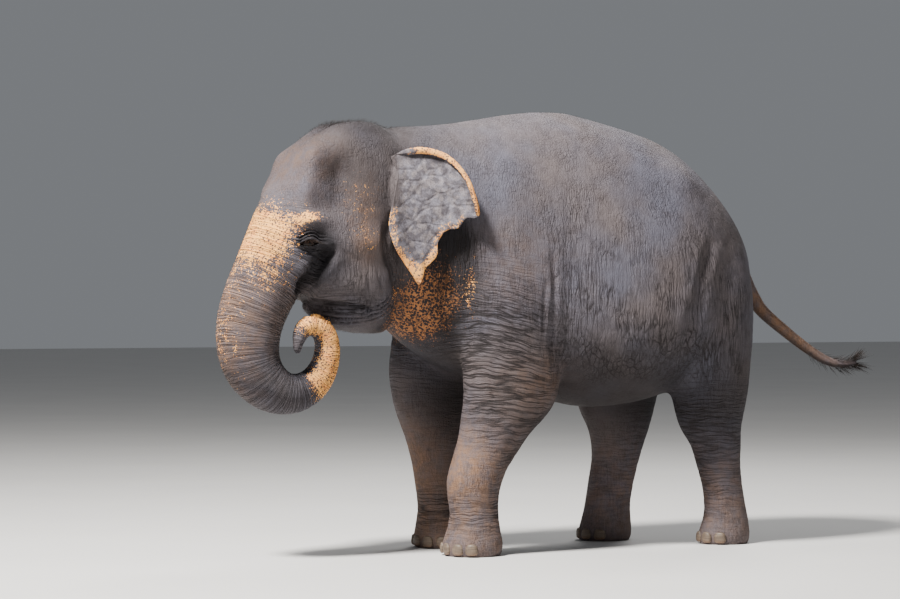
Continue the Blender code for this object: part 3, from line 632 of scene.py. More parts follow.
def eye_place(co):
    """Each point's place in the eye's own frame: backwards, up and outwards, on either side."""
    rel = co * np.where(co[:, :1] < 0, (-1, 1, 1), (1, 1, 1)) - EYE_CENTRE
    return rel @ EYE_BACK, rel @ EYE_UP, rel @ EYE_OUT


bm = opened(skin)
for radius in EYE_ZONES:
    where = np.array([v.co for v in bm.verts])
    back, up, out = eye_place(where)
    inside = (np.hypot(back, up) < radius) & (out > -0.02)
    bm.verts.ensure_lookup_table()
    chosen = {bm.verts[i] for i in np.flatnonzero(inside)}
    edges = {e for v in chosen for e in v.link_edges}
    bmesh.ops.subdivide_edges(bm, edges=list(edges), cuts=1, use_grid_fill=True, smooth=0.0)
bmesh.ops.triangulate(bm, faces=[f for f in bm.faces if len(f.verts) > 4])
bm.to_mesh(skin.data)
bm.free()
skin.data.update()
print("skin with finer eye zones:", len(skin.data.polygons), "faces")

# %% Grooves and pleats
MOUTH = (
    *((-1.48, 1.374), (-1.415, 1.355), (-1.34, 1.344)),
    *((-1.25, 1.332), (-1.16, 1.314), (-1.08, 1.285)),
)
LIP_FOLDS = (
    *((-1.48, 1.374), (-1.34, 1.344), (-1.2, 1.325)),
    *((-1.1, 1.34), (-1.02, 1.4), (-0.975, 1.48)),
)
CHEEK_VALLEY = ((-1.375, 1.625), (-1.418, 1.553), (-1.455, 1.498), (-1.48, 1.45), (-1.488, 1.39))
FACE_GROOVES = (
    (CHEEK_VALLEY, 0.03, 0.046),
    (MOUTH, 0.013, 0.04),
    (((-1.35, 1.64), (-1.385, 1.59), (-1.4, 1.55)), 0.016, 0.01),  # from the outer corner
    (((-1.5, 1.6), (-1.455, 1.585), (-1.42, 1.6)), 0.008, 0.006),  # under the lower lid
    (((-1.53, 1.575), (-1.48, 1.55), (-1.45, 1.545)), 0.008, 0.005),
    (((-1.46, 1.56), (-1.5, 1.5), (-1.515, 1.44)), 0.01, 0.006),  # beside the tusk sheath
    (((-1.4, 1.47), (-1.43, 1.435), (-1.44, 1.4)), 0.008, 0.006),  # lip pleat
    (((-1.36, 1.48), (-1.39, 1.44), (-1.395, 1.395)), 0.008, 0.005),
    (((-1.3, 1.61), (-1.25, 1.575), (-1.21, 1.56)), 0.008, 0.003),  # under the cheek bone
    (((-1.045, 1.76), (-1.05, 1.64), (-1.0, 1.52), (-0.96, 1.4)), 0.024, 0.018),  # before the ear
    (((-1.12, 1.52), (-1.08, 1.43), (-1.06, 1.35)), 0.01, 0.006),
    (((-1.19, 1.5), (-1.16, 1.43), (-1.15, 1.37)), 0.009, 0.005),
)
AXILLA = ((-0.11, 1.64), (-0.098, 1.45), (-0.1, 1.251), (-0.085, 1.05), (-0.076, 0.876))
THIGH = ((0.88, 1.7), (0.8, 1.521), (0.758, 1.412), (0.699, 1.194), (0.66, 1.05), (0.62, 0.95))
LEG_LAG = -0.13  # the right legs' folds lie this much further forward
LIP_FOLD_STEP, LIP_FOLD_DEPTH = 0.022, 0.0085
PLEAT_STEP, PLEAT_DEPTH = 0.024, 0.002
BODY_GROOVES = (
    (AXILLA, 0.018, 0.009),
    (THIGH, 0.034, 0.013),
    (((-0.14, 1.48), (-0.155, 1.33), (-0.15, 1.18)), 0.014, 0.006),
    (((0.83, 1.45), (0.79, 1.33), (0.745, 1.18)), 0.016, 0.005),
)
co = points_of(skin)
moved = sum(groove(co, *cut) for cut in FACE_GROOVES)
for path, width, depth in BODY_GROOVES:
    moved += groove(co, path, width, depth, 1, 0.2)
    moved += groove(co, [(y + LEG_LAG, z) for y, z in path], width, depth, -1, 0.2)


def lip_folds(co):
    """The wave of the folds below the mouth line, -1 in their valleys, and where they are."""
    line = catmull_rom([(y, z, 0.0) for y, z in LIP_FOLDS], 0.02)[:, :2]
    below, share = distance_to(line, co[:, 1:])
    line_height = np.interp(co[:, 1], line[:, 0], line[:, 1])
    wave = np.sin(2 * math.pi * below / LIP_FOLD_STEP + 1.8 * noise_at(co, (7, 7, 14)))
    window = between(below, (0.005, 0.018), (0.085, 0.12))
    window *= (co[:, 2] < line_height) * between(share, (0.0, 0.15), (0.72, 1.0))
    return wave, window * smooth_step(np.abs(co[:, 0]), 0.03, 0.07)


wave, window = lip_folds(co)
moved += LIP_FOLD_DEPTH * wave * window
# Upright pleats at the angle of the jaw.
pleats = spread(co, (0.25, -1.03, 1.3, 0.12, 0.07, 0.11))
pleat_phase = 2 * math.pi * co[:, 1] / PLEAT_STEP + 2.0 * noise_at(co, (4, 4, 9), 3.1)
moved += PLEAT_DEPTH * pleats * np.sin(pleat_phase)
print("deepest groove:", round(float(moved.min()) * 1000, 1), "mm")

# %% Rings of the trunk and creases of the limbs
RING_STEP, RING_DEPTH = 0.03, 0.0026
CREASE_DEPTH, NET_DEPTH = 0.0028, 0.0015
CREASE_WIDTH = 0.16  # the part of the noise that counts as a crease
along, across, back, close = trunk_place(co)
thin = np.interp(along, trunk_length, trunk_path[:, 3])
phase = along / RING_STEP + 0.45 * noise_at(co, (7, 7, 7), 5.0)
rings = (1 - np.abs(np.sin(math.pi * phase))) ** 2
inner = smooth_step(back / thin, -0.2, 0.8)
moved -= close * rings * RING_DEPTH * (0.45 + 1.1 * inner) * smooth_step(thin, 0.04, 0.11)

LEVEL_ZONES = (  # where creases run level, and how strong they are
    (0.4, -0.38, 1.15, 0.18, 0.26, 0.33, 1.0),  # shoulder and upper arm
    (0.33, -0.33, 0.82, 0.2, 0.3, 0.22, 0.75),  # elbow
    (0.26, -0.3, 0.45, 0.24, 0.14, 0.32, 0.75),  # back of the wrist
    (0.26, -0.45, 0.22, 0.22, 0.3, 0.11, 0.85),
    (0.26, 0.9, 0.35, 0.22, 0.42, 0.25, 0.65),  # ankle
    (0.3, 0.95, 0.72, 0.22, 0.3, 0.2, 0.75),  # hock
    (0.33, -0.56, 1.12, 0.22, 0.2, 0.2, 0.8),  # breast
    (0.19, -1.26, 1.34, 0.12, 0.2, 0.08, 0.8),  # lips and jaw
)
UPRIGHT_ZONES = (  # where they run up and down
    (0.47, 0.1, 1.45, 0.15, 0.32, 0.42, 0.45),  # behind the shoulder
    (0.5, 0.62, 1.35, 0.16, 0.26, 0.4, 0.42),  # flank
    (0.45, 1.0, 1.2, 0.2, 0.26, 0.4, 0.65),  # thigh
    (0.48, 0.35, 1.05, 0.3, 0.48, 0.22, 0.6),  # lower flank
    (0.36, -0.64, 1.55, 0.16, 0.14, 0.42, 0.9),  # neck behind the ear
    (0.28, -1.1, 1.46, 0.09, 0.16, 0.2, 0.65),  # cheek
)


def slanted(co):
    """Height that rises backwards over the shoulder: level creases dip towards the breast."""
    lift = spread(co, (0.4, -0.3, 1.25, 0.3, 0.42, 0.45))
    out = co.copy()
    out[:, 2] += 0.3 * (co[:, 1] + 0.3) * lift
    return out


def creased(co, scale, seed):
    """1 in a crease, 0 between: the narrow zero lines of a stretched noise."""
    return np.clip(1 - np.abs(noise_at(co, scale, seed)) / CREASE_WIDTH, 0.0, 1.0) ** 1.5


level = zone_weight(co, LEVEL_ZONES) * (1 - close)
upright = zone_weight(co, UPRIGHT_ZONES) * (1 - close)
moved -= CREASE_DEPTH * level * creased(slanted(co), (3.5, 3.5, 15.0), 11.0)
moved -= CREASE_DEPTH * upright * creased(co, (9.0, 14.0, 3.0), 23.0)
moved -= NET_DEPTH * (1 - close) * creased(co, (9.0, 9.0, 9.0), 37.0)
lifted = smooth_step(co[:, 2], 0.01, 0.05)
put_points(skin, co + normals_of(skin) * (moved * lifted)[:, None])
print("ring creases on", int((close > 0.5).sum()), "points")

# %% [markdown]
# ## Lids
#
# An elephant's eye is a small ball deep in heavy lids. In the eye's own frame the skin is first
# draped over a ball a little larger than the eye, then pushed in inside the opening, which leaves
# a thick lid edge all round; shallow creases follow the opening above and below.

# %% Drape the lids and open them
LID_THICKNESS = 0.005
OPENING_HALF = 0.05  # half its length
OPENING_UP, OPENING_DOWN = 0.019, 0.0145
OPENING_DEPTH = 0.018
LID_EDGE = 0.0022
LID_REACH = 0.08
UPPER_CREASES = ((0.014, 0.005), (0.03, 0.0065), (0.047, 0.0045))  # above the opening, depth
LOWER_CREASES = ((0.013, 0.003), (0.028, 0.005), (0.046, 0.004))
CREASE_FADE = 0.078  # how far along the eye the creases run
DRAPE_SOFTNESS = 0.006
NEAR_EYE, EYE_DEPTH = 0.13, -0.07  # how far round and how deep the lids are worked
SAG_POWER = 2.2  # how full the opening is towards its corners


def droop_at(back):
    """How far the opening sinks towards its front corner."""
    return -0.006 * smooth_step(-back, 0.01, 0.045)


co = points_of(skin)
back, up, out = eye_place(co)
around = np.hypot(back, up)
at_eye = (around < NEAR_EYE) & (out > EYE_DEPTH)
droop = droop_at(back)
sag = np.clip(1 - np.abs(back / OPENING_HALF) ** SAG_POWER, 0.0, 1.0)
top_edge = OPENING_UP * sag + droop
low_edge = -OPENING_DOWN * sag + droop
ball = np.sqrt(np.clip((EYE_RADIUS + LID_THICKNESS) ** 2 - around**2, 0.0, None))
fade = 1 - smooth_step(around, LID_REACH * 0.62, LID_REACH)
over_ball = np.logaddexp(out / DRAPE_SOFTNESS, ball / DRAPE_SOFTNESS) * DRAPE_SOFTNESS
draped = np.where(at_eye, over_ball, out)
new_out = out + fade * (draped - out)
inside = smooth_step(np.minimum(top_edge - up, up - low_edge), -LID_EDGE / 2, LID_EDGE / 2)
inside *= smooth_step(OPENING_HALF - np.abs(back), 0.0, 0.004)
new_out -= OPENING_DEPTH * inside
reach = np.exp(-((back / CREASE_FADE) ** 4))
for above, depth in UPPER_CREASES:
    line = up - (top_edge + above + 0.004 * np.sin(back * 60.0))
    new_out -= depth * reach * bell(line, 0.0046) * (1 - inside)
    new_out += 0.6 * depth * reach * bell(line + 0.008, 0.006) * (1 - inside)
for beneath, depth in LOWER_CREASES:
    line = up - (low_edge - beneath - 0.1 * back)
    new_out -= depth * reach * bell(line, 0.005) * (1 - inside)
side = np.where(co[:, :1] < 0, (-1.0, 1.0, 1.0), (1.0, 1.0, 1.0))
co += np.where(at_eye, new_out - out, 0.0)[:, None] * EYE_OUT * side
put_points(skin, co)
eye_grain = np.where(at_eye & (inside < 0.5), fade * 0.4, 0.0)
relax(skin, 1, 0.5, eye_grain)
stored(skin, "inside_lids", inside * at_eye)
print("points in the lids:", int((at_eye & (around < LID_REACH)).sum()))

# %% [markdown]
# ## Ears and tail
#
# The Asian ear is small, with a top edge that rolls over outwards and a free front edge. Its
# middle surface is a fan of rings about a centre; along the roll the rings run on out, over and
# down. The sheet is then given its thickness, thinner towards the edge, and let into the head.

# %% Shape the ears
# Outline in (y, z), from the top of the root over the fold and round the lobe.
EAR_OUTLINE = (
    *((-1.01, 2.1), (-0.93, 2.142), (-0.835, 2.152), (-0.715, 2.115)),
    *((-0.628, 2.028), (-0.575, 1.9), (-0.56, 1.8), (-0.622, 1.792)),
    *((-0.665, 1.742), (-0.742, 1.728), (-0.778, 1.672), (-0.792, 1.592)),
    *((-0.846, 1.522), (-0.874, 1.446), (-0.912, 1.49), (-0.958, 1.556)),
    *((-1.018, 1.644), (-1.042, 1.742), (-1.02, 1.876), (-0.985, 2.01)),
)
EAR_CENTRE = (-0.86, 1.875)
EAR_ROOT_X = 0.302
EAR_FLARE = 0.33
EAR_TUCK = 0.035
EAR_CUP = 0.018
EAR_LIFT = 0.02  # how far the free front edge stands off the cheek
EAR_THICKNESS = 0.015
EAR_PITCH = 0.011
EAR_SHARES = (0.14, 0.28, 0.42, 0.55, 0.66, 0.76, 0.84, 0.91, 0.96, 1.0)
EAR_EDGE_SHARE = 0.55  # thickness at the edge
ROLL = (  # the edge's way as it rolls over: outwards in the sheet, and off it
    *((0.003, 0.006), (0.003, 0.014), (-0.003, 0.021)),
    *((-0.012, 0.025), (-0.022, 0.023), (-0.029, 0.018)),
)
ROLL_FROM, ROLL_TO = (0.1, 1.3), (5.7, 6.3)  # outline points where the roll comes and goes


def ear_x(y, z):
    behind = y - EAR_OUTLINE[0][0]
    tucked = EAR_TUCK * smooth_step(z, 1.95, 2.16)
    cupped = EAR_CUP * np.sin(math.pi * np.clip(behind / 0.45, 0.0, 1.0))
    lifted = EAR_LIFT * smooth_step(-y, 0.93, 1.03) * (1 - smooth_step(z, 1.86, 1.98))
    return EAR_ROOT_X + EAR_FLARE * behind - tucked - cupped + lifted


def ear_edge(pitch):
    """The outline as a closed curve: y, z, 0 and the running number of the outline point."""
    numbered = [(y, z, 0.0, float(i)) for i, (y, z) in enumerate(EAR_OUTLINE + EAR_OUTLINE[:1])]
    return catmull_rom(numbered, pitch)


def ear_sheet():
    edge = ear_edge(EAR_PITCH)[:-1]
    number = edge[:, 3]
    rolled = between(number, ROLL_FROM, ROLL_TO)
    middle = np.array(EAR_CENTRE)
    ray = edge[:, :2] - middle
    out = unit(ray)
    rings = []
    for share in EAR_SHARES:
        flat = middle + ray * share
        wavy = 0.006 * np.sin(flat[:, 0] * 24) + 0.005 * np.sin(flat[:, 1] * 41 + flat[:, 0] * 17)
        low = 1 - smooth_step(flat[:, 1], 1.7, 1.83)
        x = ear_x(flat[:, 0], flat[:, 1]) + wavy * share**2 * low
        rings.append(np.column_stack([x, flat]))
    rim = rings[-1]
    for step, (radial, outwards) in enumerate(ROLL, 1):
        away = radial * rolled + 0.0014 * step * (1 - rolled)
        proud = outwards * rolled
        flat = rim[:, 1:] + out * away[:, None]
        rings.append(np.column_stack([rim[:, 0] + proud, flat]))
    bm = bmesh.new()
    rows = [[bm.verts.new(p) for p in ring] for ring in rings]
    hub = bm.verts.new((float(ear_x(*EAR_CENTRE)), *EAR_CENTRE))
    count = len(edge)
    for i in range(count):
        j = (i + 1) % count
        bm.faces.new((rows[0][i], rows[0][j], hub))
        for inner_row, outer_row in zip(rows, rows[1:]):
            bm.faces.new((inner_row[i], outer_row[i], outer_row[j], inner_row[j]))
    sheet = object_from_bmesh("ear_sheet", bm)
    group = sheet.vertex_groups.new(name="thick")
    for row, ring in enumerate(rings):
        share = min(1.0, (row + 1) / len(EAR_SHARES))
        weight = 1 - (1 - EAR_EDGE_SHARE) * share**2
        group.add(list(range(row * count, (row + 1) * count)), weight, "REPLACE")
    group.add([len(rings) * count], 1.0, "REPLACE")
    modify(sheet, "SOLIDIFY", thickness=EAR_THICKNESS, offset=0.0, vertex_group="thick")
    modify(sheet, "SUBSURF", levels=1, render_levels=1)
    settle(sheet)
    sheet.vertex_groups.clear()
    return sheet


def ear_root():
    """The gristle that carries the ear, let into the side of the head."""
    bm = bmesh.new()
    bmesh.ops.create_uvsphere(bm, u_segments=32, v_segments=20, radius=1.0)
    bmesh.ops.scale(bm, vec=(0.046, 0.056, 0.17), verts=bm.verts)
    bmesh.ops.translate(bm, vec=(0.272, -0.965, 1.905), verts=bm.verts)
    return object_from_bmesh("ear_root", bm)


def mirrored(item, name):
    bm = opened(item)
    bmesh.ops.scale(bm, vec=(-1, 1, 1), verts=bm.verts)
    bmesh.ops.reverse_faces(bm, faces=bm.faces)
    return object_from_bmesh(name, bm, tidy=False)


def unite(item, *others):
    """Makes the item one closed body with the others."""
    for other in others:
        modify(item, "BOOLEAN", operation="UNION", solver="MANIFOLD", object=other)
        settle(item)
        bpy.data.objects.remove(other, do_unlink=True)


ear = ear_sheet()
unite(ear, ear_root())
other_ear = mirrored(ear, "ear_other")
tail = loft("tail", tube_rings([(x, y, z, r, r) for x, y, z, r in TAIL], 28, 0.018))
print("ear:", len(ear.data.polygons), "faces; tail:", len(tail.data.polygons))

# %% Let the ears and the tail into the skin
before = len(skin.data.vertices)
unite(skin, ear, other_ear, tail)
co = points_of(skin)
ear_seam = spread(co, (0.3, -0.985, 1.93, 0.045, 0.05, 0.15))
tail_seam = spread(co, (0.0, 1.235, 1.745, 0.085, 0.065, 0.085))
relax(skin, 6, 0.5, np.clip(1.2 * ear_seam + tail_seam, 0.0, 0.8))
print("one skin:", len(skin.data.polygons), "faces, from", before, "points to", len(co))

# %% [markdown]
# ## Sparing with faces
#
# A visible skin must stay under 200,000 triangles. Collapsing edges takes flat areas first and so
# keeps the folds. The body is thinned most, the head and trunk less, the lids not at all.

# %% Thin out the mesh
BODY_FACES, HEAD_FACES = 82000, 104000
HEAD_SIDE_Y = -0.8


def thin_out(item, name, chosen, target):
    """Collapses the chosen points' surface until the whole has the target number of triangles."""
    group = item.vertex_groups.new(name=name)
    group.add(np.flatnonzero(chosen).tolist(), 1.0, "REPLACE")
    item.data.calc_loop_triangles()
    ratio = target / len(item.data.loop_triangles)
    modify(item, "DECIMATE", ratio=ratio, vertex_group=name, use_collapse_triangulate=True)
    settle(item)
    item.vertex_groups.clear()


co = points_of(skin)
ahead = co[:, 1] < HEAD_SIDE_Y
skin.data.calc_loop_triangles()
head_share = int(len(skin.data.loop_triangles) * ahead.mean())
thin_out(skin, "body", ~ahead, head_share + BODY_FACES)
co = points_of(skin)
back, up, out = eye_place(co)
spared = (np.hypot(back, up) < LID_REACH) & (out > -0.05)
thin_out(skin, "head", (co[:, 1] < HEAD_SIDE_Y) & ~spared, BODY_FACES + HEAD_FACES)


def shed_flaps(item):
    """Removes triangles that hang on by one edge; counts them and the edges left open."""
    bm = opened(item)
    flaps = [f for f in bm.faces if sum(len(edge.link_faces) == 1 for edge in f.edges) > 1]
    bmesh.ops.delete(bm, geom=flaps, context="FACES")
    left_open = sum(len(edge.link_faces) != 2 for edge in bm.edges)
    bm.to_mesh(item.data)
    bm.free()
    return len(flaps), left_open


print("flaps removed, edges left open:", shed_flaps(skin))
smoothed(skin)
print("thinned skin:", len(skin.data.polygons), "triangles")

# %% [markdown]
# ## Notes for the painter
#
# The paint has to know where it is on the animal: how folds run there, where the pigment is
# missing, where dust sticks, and where shade is painted in: undersides, hollows, grooves, lids
# and the neck under the ear. Each of these is stored on the skin's points, while the head still
# looks straight ahead. Along the trunk a bent place is stored, so that patterns follow its curl.

# %% Store the places of folds, markings and painted shade
PALE_ZONES = (  # skin without pigment
    (0.07, -1.64, 1.72, 0.18, 0.12, 0.125, 0.64),  # between the eyes
    (0.12, -1.67, 1.64, 0.17, 0.15, 0.15, 0.5),
    (0.15, -1.7, 1.48, 0.15, 0.14, 0.13, 0.26),
    (0.25, -1.54, 1.77, 0.06, 0.055, 0.04, 0.72),  # brow
    (0.262, -1.475, 1.79, 0.06, 0.055, 0.03, 0.72),
    (0.06, -1.87, 1.23, 0.15, 0.12, 0.3, 0.22),  # front of the trunk
    (0.275, -1.19, 1.85, 0.1, 0.09, 0.13, 0.27),  # temple
    (0.285, -1.18, 1.66, 0.09, 0.08, 0.09, 0.24),
    (0.24, -0.96, 1.38, 0.12, 0.035, 0.06, 0.5),  # throat
    (0.372, -0.56, 1.43, 0.08, 0.045, 0.11, 0.45),  # before the shoulder
)
NET_ZONES = (  # orange speckled net on dark ground
    (0.3, -0.74, 1.38, 0.24, 0.23, 0.27, 0.95),
    (0.22, -0.85, 1.23, 0.22, 0.19, 0.19, 0.85),
)
# Painted shade in hollows, grooves and undersides, round the eyes and under the ears, together
# with darker skin tone on crown, head, jaw, forelegs and the ground of the net.
SHADE_AND_TONE_ZONES = (
    (0.0, -1.08, 2.33, 0.32, 0.36, 0.17, 1.05),  # crown
    (0.0, -1.45, 2.06, 0.26, 0.16, 0.2, 0.35),  # forehead
    (0.26, -1.47, 1.655, 0.085, 0.11, 0.075, 1.1),  # painted shade round the eye
    # painted shade in the hollow under the eye
    (0.26, -1.4, 1.58, 0.08, 0.07, 0.08, 0.75),
    (0.24, -1.44, 1.49, 0.08, 0.065, 0.11, 0.95),  # painted shade in the valley to the mouth
    (0.34, -0.69, 1.56, 0.14, 0.13, 0.23, 1.0),  # painted shadow of the ear on the neck
    (0.24, -1.27, 2.0, 0.1, 0.16, 0.15, 0.5),  # painted shade in the temple hollow
    (0.2, -0.96, 1.17, 0.25, 0.18, 0.11, 0.6),  # painted shade on the throat, under the jaw
    (0.26, -1.08, 1.88, 0.25, 0.4, 0.46, 0.36),  # whole head
    (0.3, -0.74, 1.36, 0.24, 0.24, 0.33, 1.2),  # ground of the net
    (0.262, -1.475, 1.655, 0.06, 0.065, 0.04, 1.0),  # painted shade on the lids
    # painted shadow of the ear on the neck behind it
    (0.37, -0.65, 1.64, 0.1, 0.08, 0.13, 1.0),
    (0.3, 1.0, 0.74, 0.3, 0.32, 0.42, 0.62),  # painted shade on the hind leg
    (0.35, 1.15, 1.1, 0.3, 0.26, 0.4, 0.12),  # painted shade on the rump
    (0.0, -0.5, 0.9, 0.2, 0.4, 0.4, 0.6),  # painted shade between the forelegs
    (0.0, 0.3, 0.8, 0.45, 0.9, 0.2, 0.85),  # painted shade on the belly
    (0.12, -1.2, 1.27, 0.16, 0.2, 0.07, 0.15),  # jaw
    (0.3, -0.4, 0.35, 0.35, 0.4, 0.35, 0.26),  # forelegs
)
DUST_ZONES = (
    (0.33, -0.6, 0.44, 0.2, 0.18, 0.2, 0.85),  # wrist
    (0.3, -0.42, 0.45, 0.3, 0.4, 0.4, 0.32),
    (0.25, -0.45, 0.1, 0.3, 0.4, 0.14, 0.45),
    (0.25, 0.9, 0.25, 0.3, 0.6, 0.3, 0.45),
    (0.4, -0.15, 0.93, 0.2, 0.2, 0.14, 0.45),  # elbow
    (0.0, -1.83, 1.15, 0.25, 0.18, 0.33, 0.6),  # trunk
    (0.08, 1.65, 1.2, 0.12, 0.42, 0.35, 1.0),  # tail
    (0.44, -0.33, 1.5, 0.14, 0.25, 0.23, 0.2),
    (0.28, -1.19, 1.85, 0.1, 0.09, 0.13, 0.45),  # temple
    (0.12, -1.42, 2.08, 0.22, 0.16, 0.22, 0.34),  # forehead
    (0.0, -1.76, 1.48, 0.25, 0.22, 0.3, 0.32),
    (0.29, -1.18, 1.66, 0.09, 0.08, 0.1, 0.55),
)
CURL = ((1.38, 1.5), (1.88, 1.98))  # metres along the trunk, where the curl is pale
LOWER_TRUNK = ((0.7, 1.15), (1.45, 1.6))  # where it is shaded
EAR_PALE = ((6.5, 7.5), (18.0, 19.0))  # outline points between which the ear's margin is pale
EAR_RIM = ((0.8, 1.6), (6.0, 6.5))  # and those of its rolled rim
EAR_NEAR, EAR_FAR = 0.018, 0.034  # metres from its middle surface
LID_SHADE = (0.074, 0.036)  # half length and half height of the painted shade round the lids
CORNER_GLINT = (0.055, 0.008)  # the pale wet inner corner, painted bright as its glint: how far ahead of the eye's middle, and below
LIDS_OUT = -0.06  # nothing deeper than this belongs to the lids
BENT_STRETCH = 0.55  # the rings of the bent trunk are spread this much more


co = points_of(skin)
along, across, back, close = trunk_place(co)
thin = np.interp(along, trunk_length, trunk_path[:, 3])
bent_length = along + BENT_STRETCH * np.maximum(along - RINGS_FULL, 0.0)
bent = np.column_stack([0.5 * across, 0.5 * back - 1.55, TRUNK[0][2] - bent_length])
fold_place = slanted(co) * (1 - close[:, None]) + bent * close[:, None]
outside = np.abs(co[:, 0]) - ear_x(co[:, 1], co[:, 2])
on_ear = 1 - smooth_step(np.abs(outside), EAR_NEAR, EAR_FAR)
on_ear *= (np.abs(co[:, 0]) > 0.2) & (co[:, 2] > 1.4)
ear_line = ear_edge(0.02)
from_edge, share = distance_to(ear_line[:, :2], co[:, 1:])
crossings = np.zeros(len(co), int)
for (y0, z0), (y1, z1) in zip(ear_line[:, :2], np.roll(ear_line[:, :2], -1, axis=0)):
    level_with = (co[:, 2] > z0) != (co[:, 2] > z1)
    crossings += level_with & (co[:, 1] < y0 + (y1 - y0) * (co[:, 2] - z0) / (z1 - z0 + 1e-12))
within = crossings % 2 == 1
on_ear *= np.where(within, 1.0, 1 - smooth_step(from_edge, 0.006, 0.022))
on_ear *= smooth_step(np.where(co[:, 2] > 1.83, co[:, 1], 0.0), -1.0, -0.96)
run = run_along(ear_line[:, :2])
number = np.interp(share, run / run[-1], ear_line[:, 3])
margin = between(number, *EAR_PALE)
rim = between(number, *EAR_RIM)
lobe = 1 - smooth_step(co[:, 2], 1.5, 1.66)
# Painted shadow under the rolled rim of the ear.
roll_shadow = rim * bell(from_edge - 0.042, 0.017) * (1 - smooth_step(outside, 0.012, 0.02))
ear_pale = margin * (1 - smooth_step(from_edge, 0.01, 0.05)) * (0.55 + 0.25 * lobe) + 0.35 * lobe
rolled_pale = rim * (1 - smooth_step(from_edge, 0.02, 0.04))
rolled_pale *= smooth_step(outside, 0.004, 0.016)
rolled_pale *= 0.9
pale = zone_weight(co, PALE_ZONES) * (1 - on_ear)
pale += 0.95 * between(along, *CURL) * close * (1 - smooth_step(back / thin, 0.55, 1.15))
pale += on_ear * ear_pale + rolled_pale * (co[:, 1] > -1.05) * (co[:, 2] > 1.75)
back, up, out = eye_place(co)
in_front = out > LIDS_OUT
long_way, high_way = back / LID_SHADE[0], up / LID_SHADE[1]
lid_shade = np.exp(-((long_way**2 + high_way**2) ** 2)) * in_front
# A pale wet spot at the inner corner of the eye, painted bright as its glint.
long_way, high_way = (back + CORNER_GLINT[0]) / 0.008, (up + CORNER_GLINT[1]) / 0.007
corner_glint = np.exp(-(long_way**2 + high_way**2)) * in_front
pale = pale * (1 - lid_shade) + 1.2 * corner_glint
# Painted shade on the undersides, half as strong under the head as under the body.
under = smooth_step(-normals_of(skin)[:, 2], -0.1, 0.8) * (co[:, 2] > 0.3)
dark = np.maximum(zone_weight(co, SHADE_AND_TONE_ZONES), np.where(co[:, 1] < -0.95, 0.5, 0.85) * under)
# Painted shade along the cheek valley and in the mouth line.
for path, reach in ((CHEEK_VALLEY, 0.04), (MOUTH, 0.016)):
    away, share = distance_to(path, co[:, 1:])
    dark = np.maximum(dark, bell(away, reach) * smooth_step(np.abs(co[:, 0]), 0.05, 0.1))
wave, window = lip_folds(co)
dark = np.maximum(dark, lid_shade)
# Painted highlight on the crests of the folds under the mouth, painted shade in their valleys.
dark *= 1 - 0.9 * window * smooth_step(wave, -0.2, 0.6)
dark = np.maximum(dark, 0.9 * window * smooth_step(-wave, 0.1, 0.9))
dark = np.maximum(dark, 0.5 * between(along, *LOWER_TRUNK) * close)
off_ear = 1 - on_ear
notes = {
    "fold_place": fold_place,
    "level": np.clip(zone_weight(co, LEVEL_ZONES) + close, 0.0, 1.0) * off_ear,
    "upright": zone_weight(co, UPRIGHT_ZONES) * (1 - close) * off_ear,
    "pale": np.clip(pale, 0.0, 1.0),
    "net": zone_weight(co, NET_ZONES) * off_ear,
    "dark": dark * off_ear + 0.8 * roll_shadow * on_ear,
    "dust": zone_weight(co, DUST_ZONES) * off_ear,
    "ear": on_ear,
    "trunk": close,
}
for name, values in notes.items():
    stored(skin, name, values)
print("points on the ears:", int((on_ear > 0.5).sum()), "pale:", int((pale > 0.5).sum()))

# %% [markdown]
# ## Turning the head and taking the place of the solids
#
# The animal looks a little to its left. Everything ahead of the neck is turned about an upright
# line, fading out over the neck, and the whole is moved to where the solids stand: the packed
# left eye tells how far.

# %% Turn and place
HEAD_TURN = math.radians(5.0)
TURN_PIVOT_Y = -0.68
TURN_Y = (-0.8, -0.55)


def turn_head(co):
    """Turns all that is ahead of the neck towards the animal's left."""
    angle = HEAD_TURN * (1 - smooth_step(co[:, 1], *TURN_Y))
    y = co[:, 1] - TURN_PIVOT_Y
    out = co.copy()
    out[:, 0] = co[:, 0] * np.cos(angle) - y * np.sin(angle)
    out[:, 1] = TURN_PIVOT_Y + co[:, 0] * np.sin(angle) + y * np.cos(angle)
    return out


eye_low, eye_high = (np.array(corner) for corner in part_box("eye_left"))
SHIFT = (eye_low + eye_high) / 2 - turn_head(np.array([PACKED_EYE]))[0]
SHIFT[2] = 0.0


def placed(item):
    put_points(item, turn_head(points_of(item)) + SHIFT)
    return item


def placed_points(co):
    return turn_head(np.array(co, float).reshape(-1, 3)) + SHIFT


placed(skin)
low, high = points_of(skin).min(axis=0), points_of(skin).max(axis=0)
print("moved by", np.round(SHIFT, 4), "skin box", np.round([low, high], 3).tolist())

# %% [markdown]
# ## Eyes
#
# Glass eyes are turned balls with a bulge in front for the cornea. Each is made here from rings
# about the line of sight, so that the angle from that line can be kept on its points: the paint
# draws pupil, iris and white by that angle.

# %% Turn the eyes
EYE_RINGS, EYE_SEGMENTS = 40, 56
CORNEA_ANGLE, CORNEA_BULGE = 0.62, 0.003


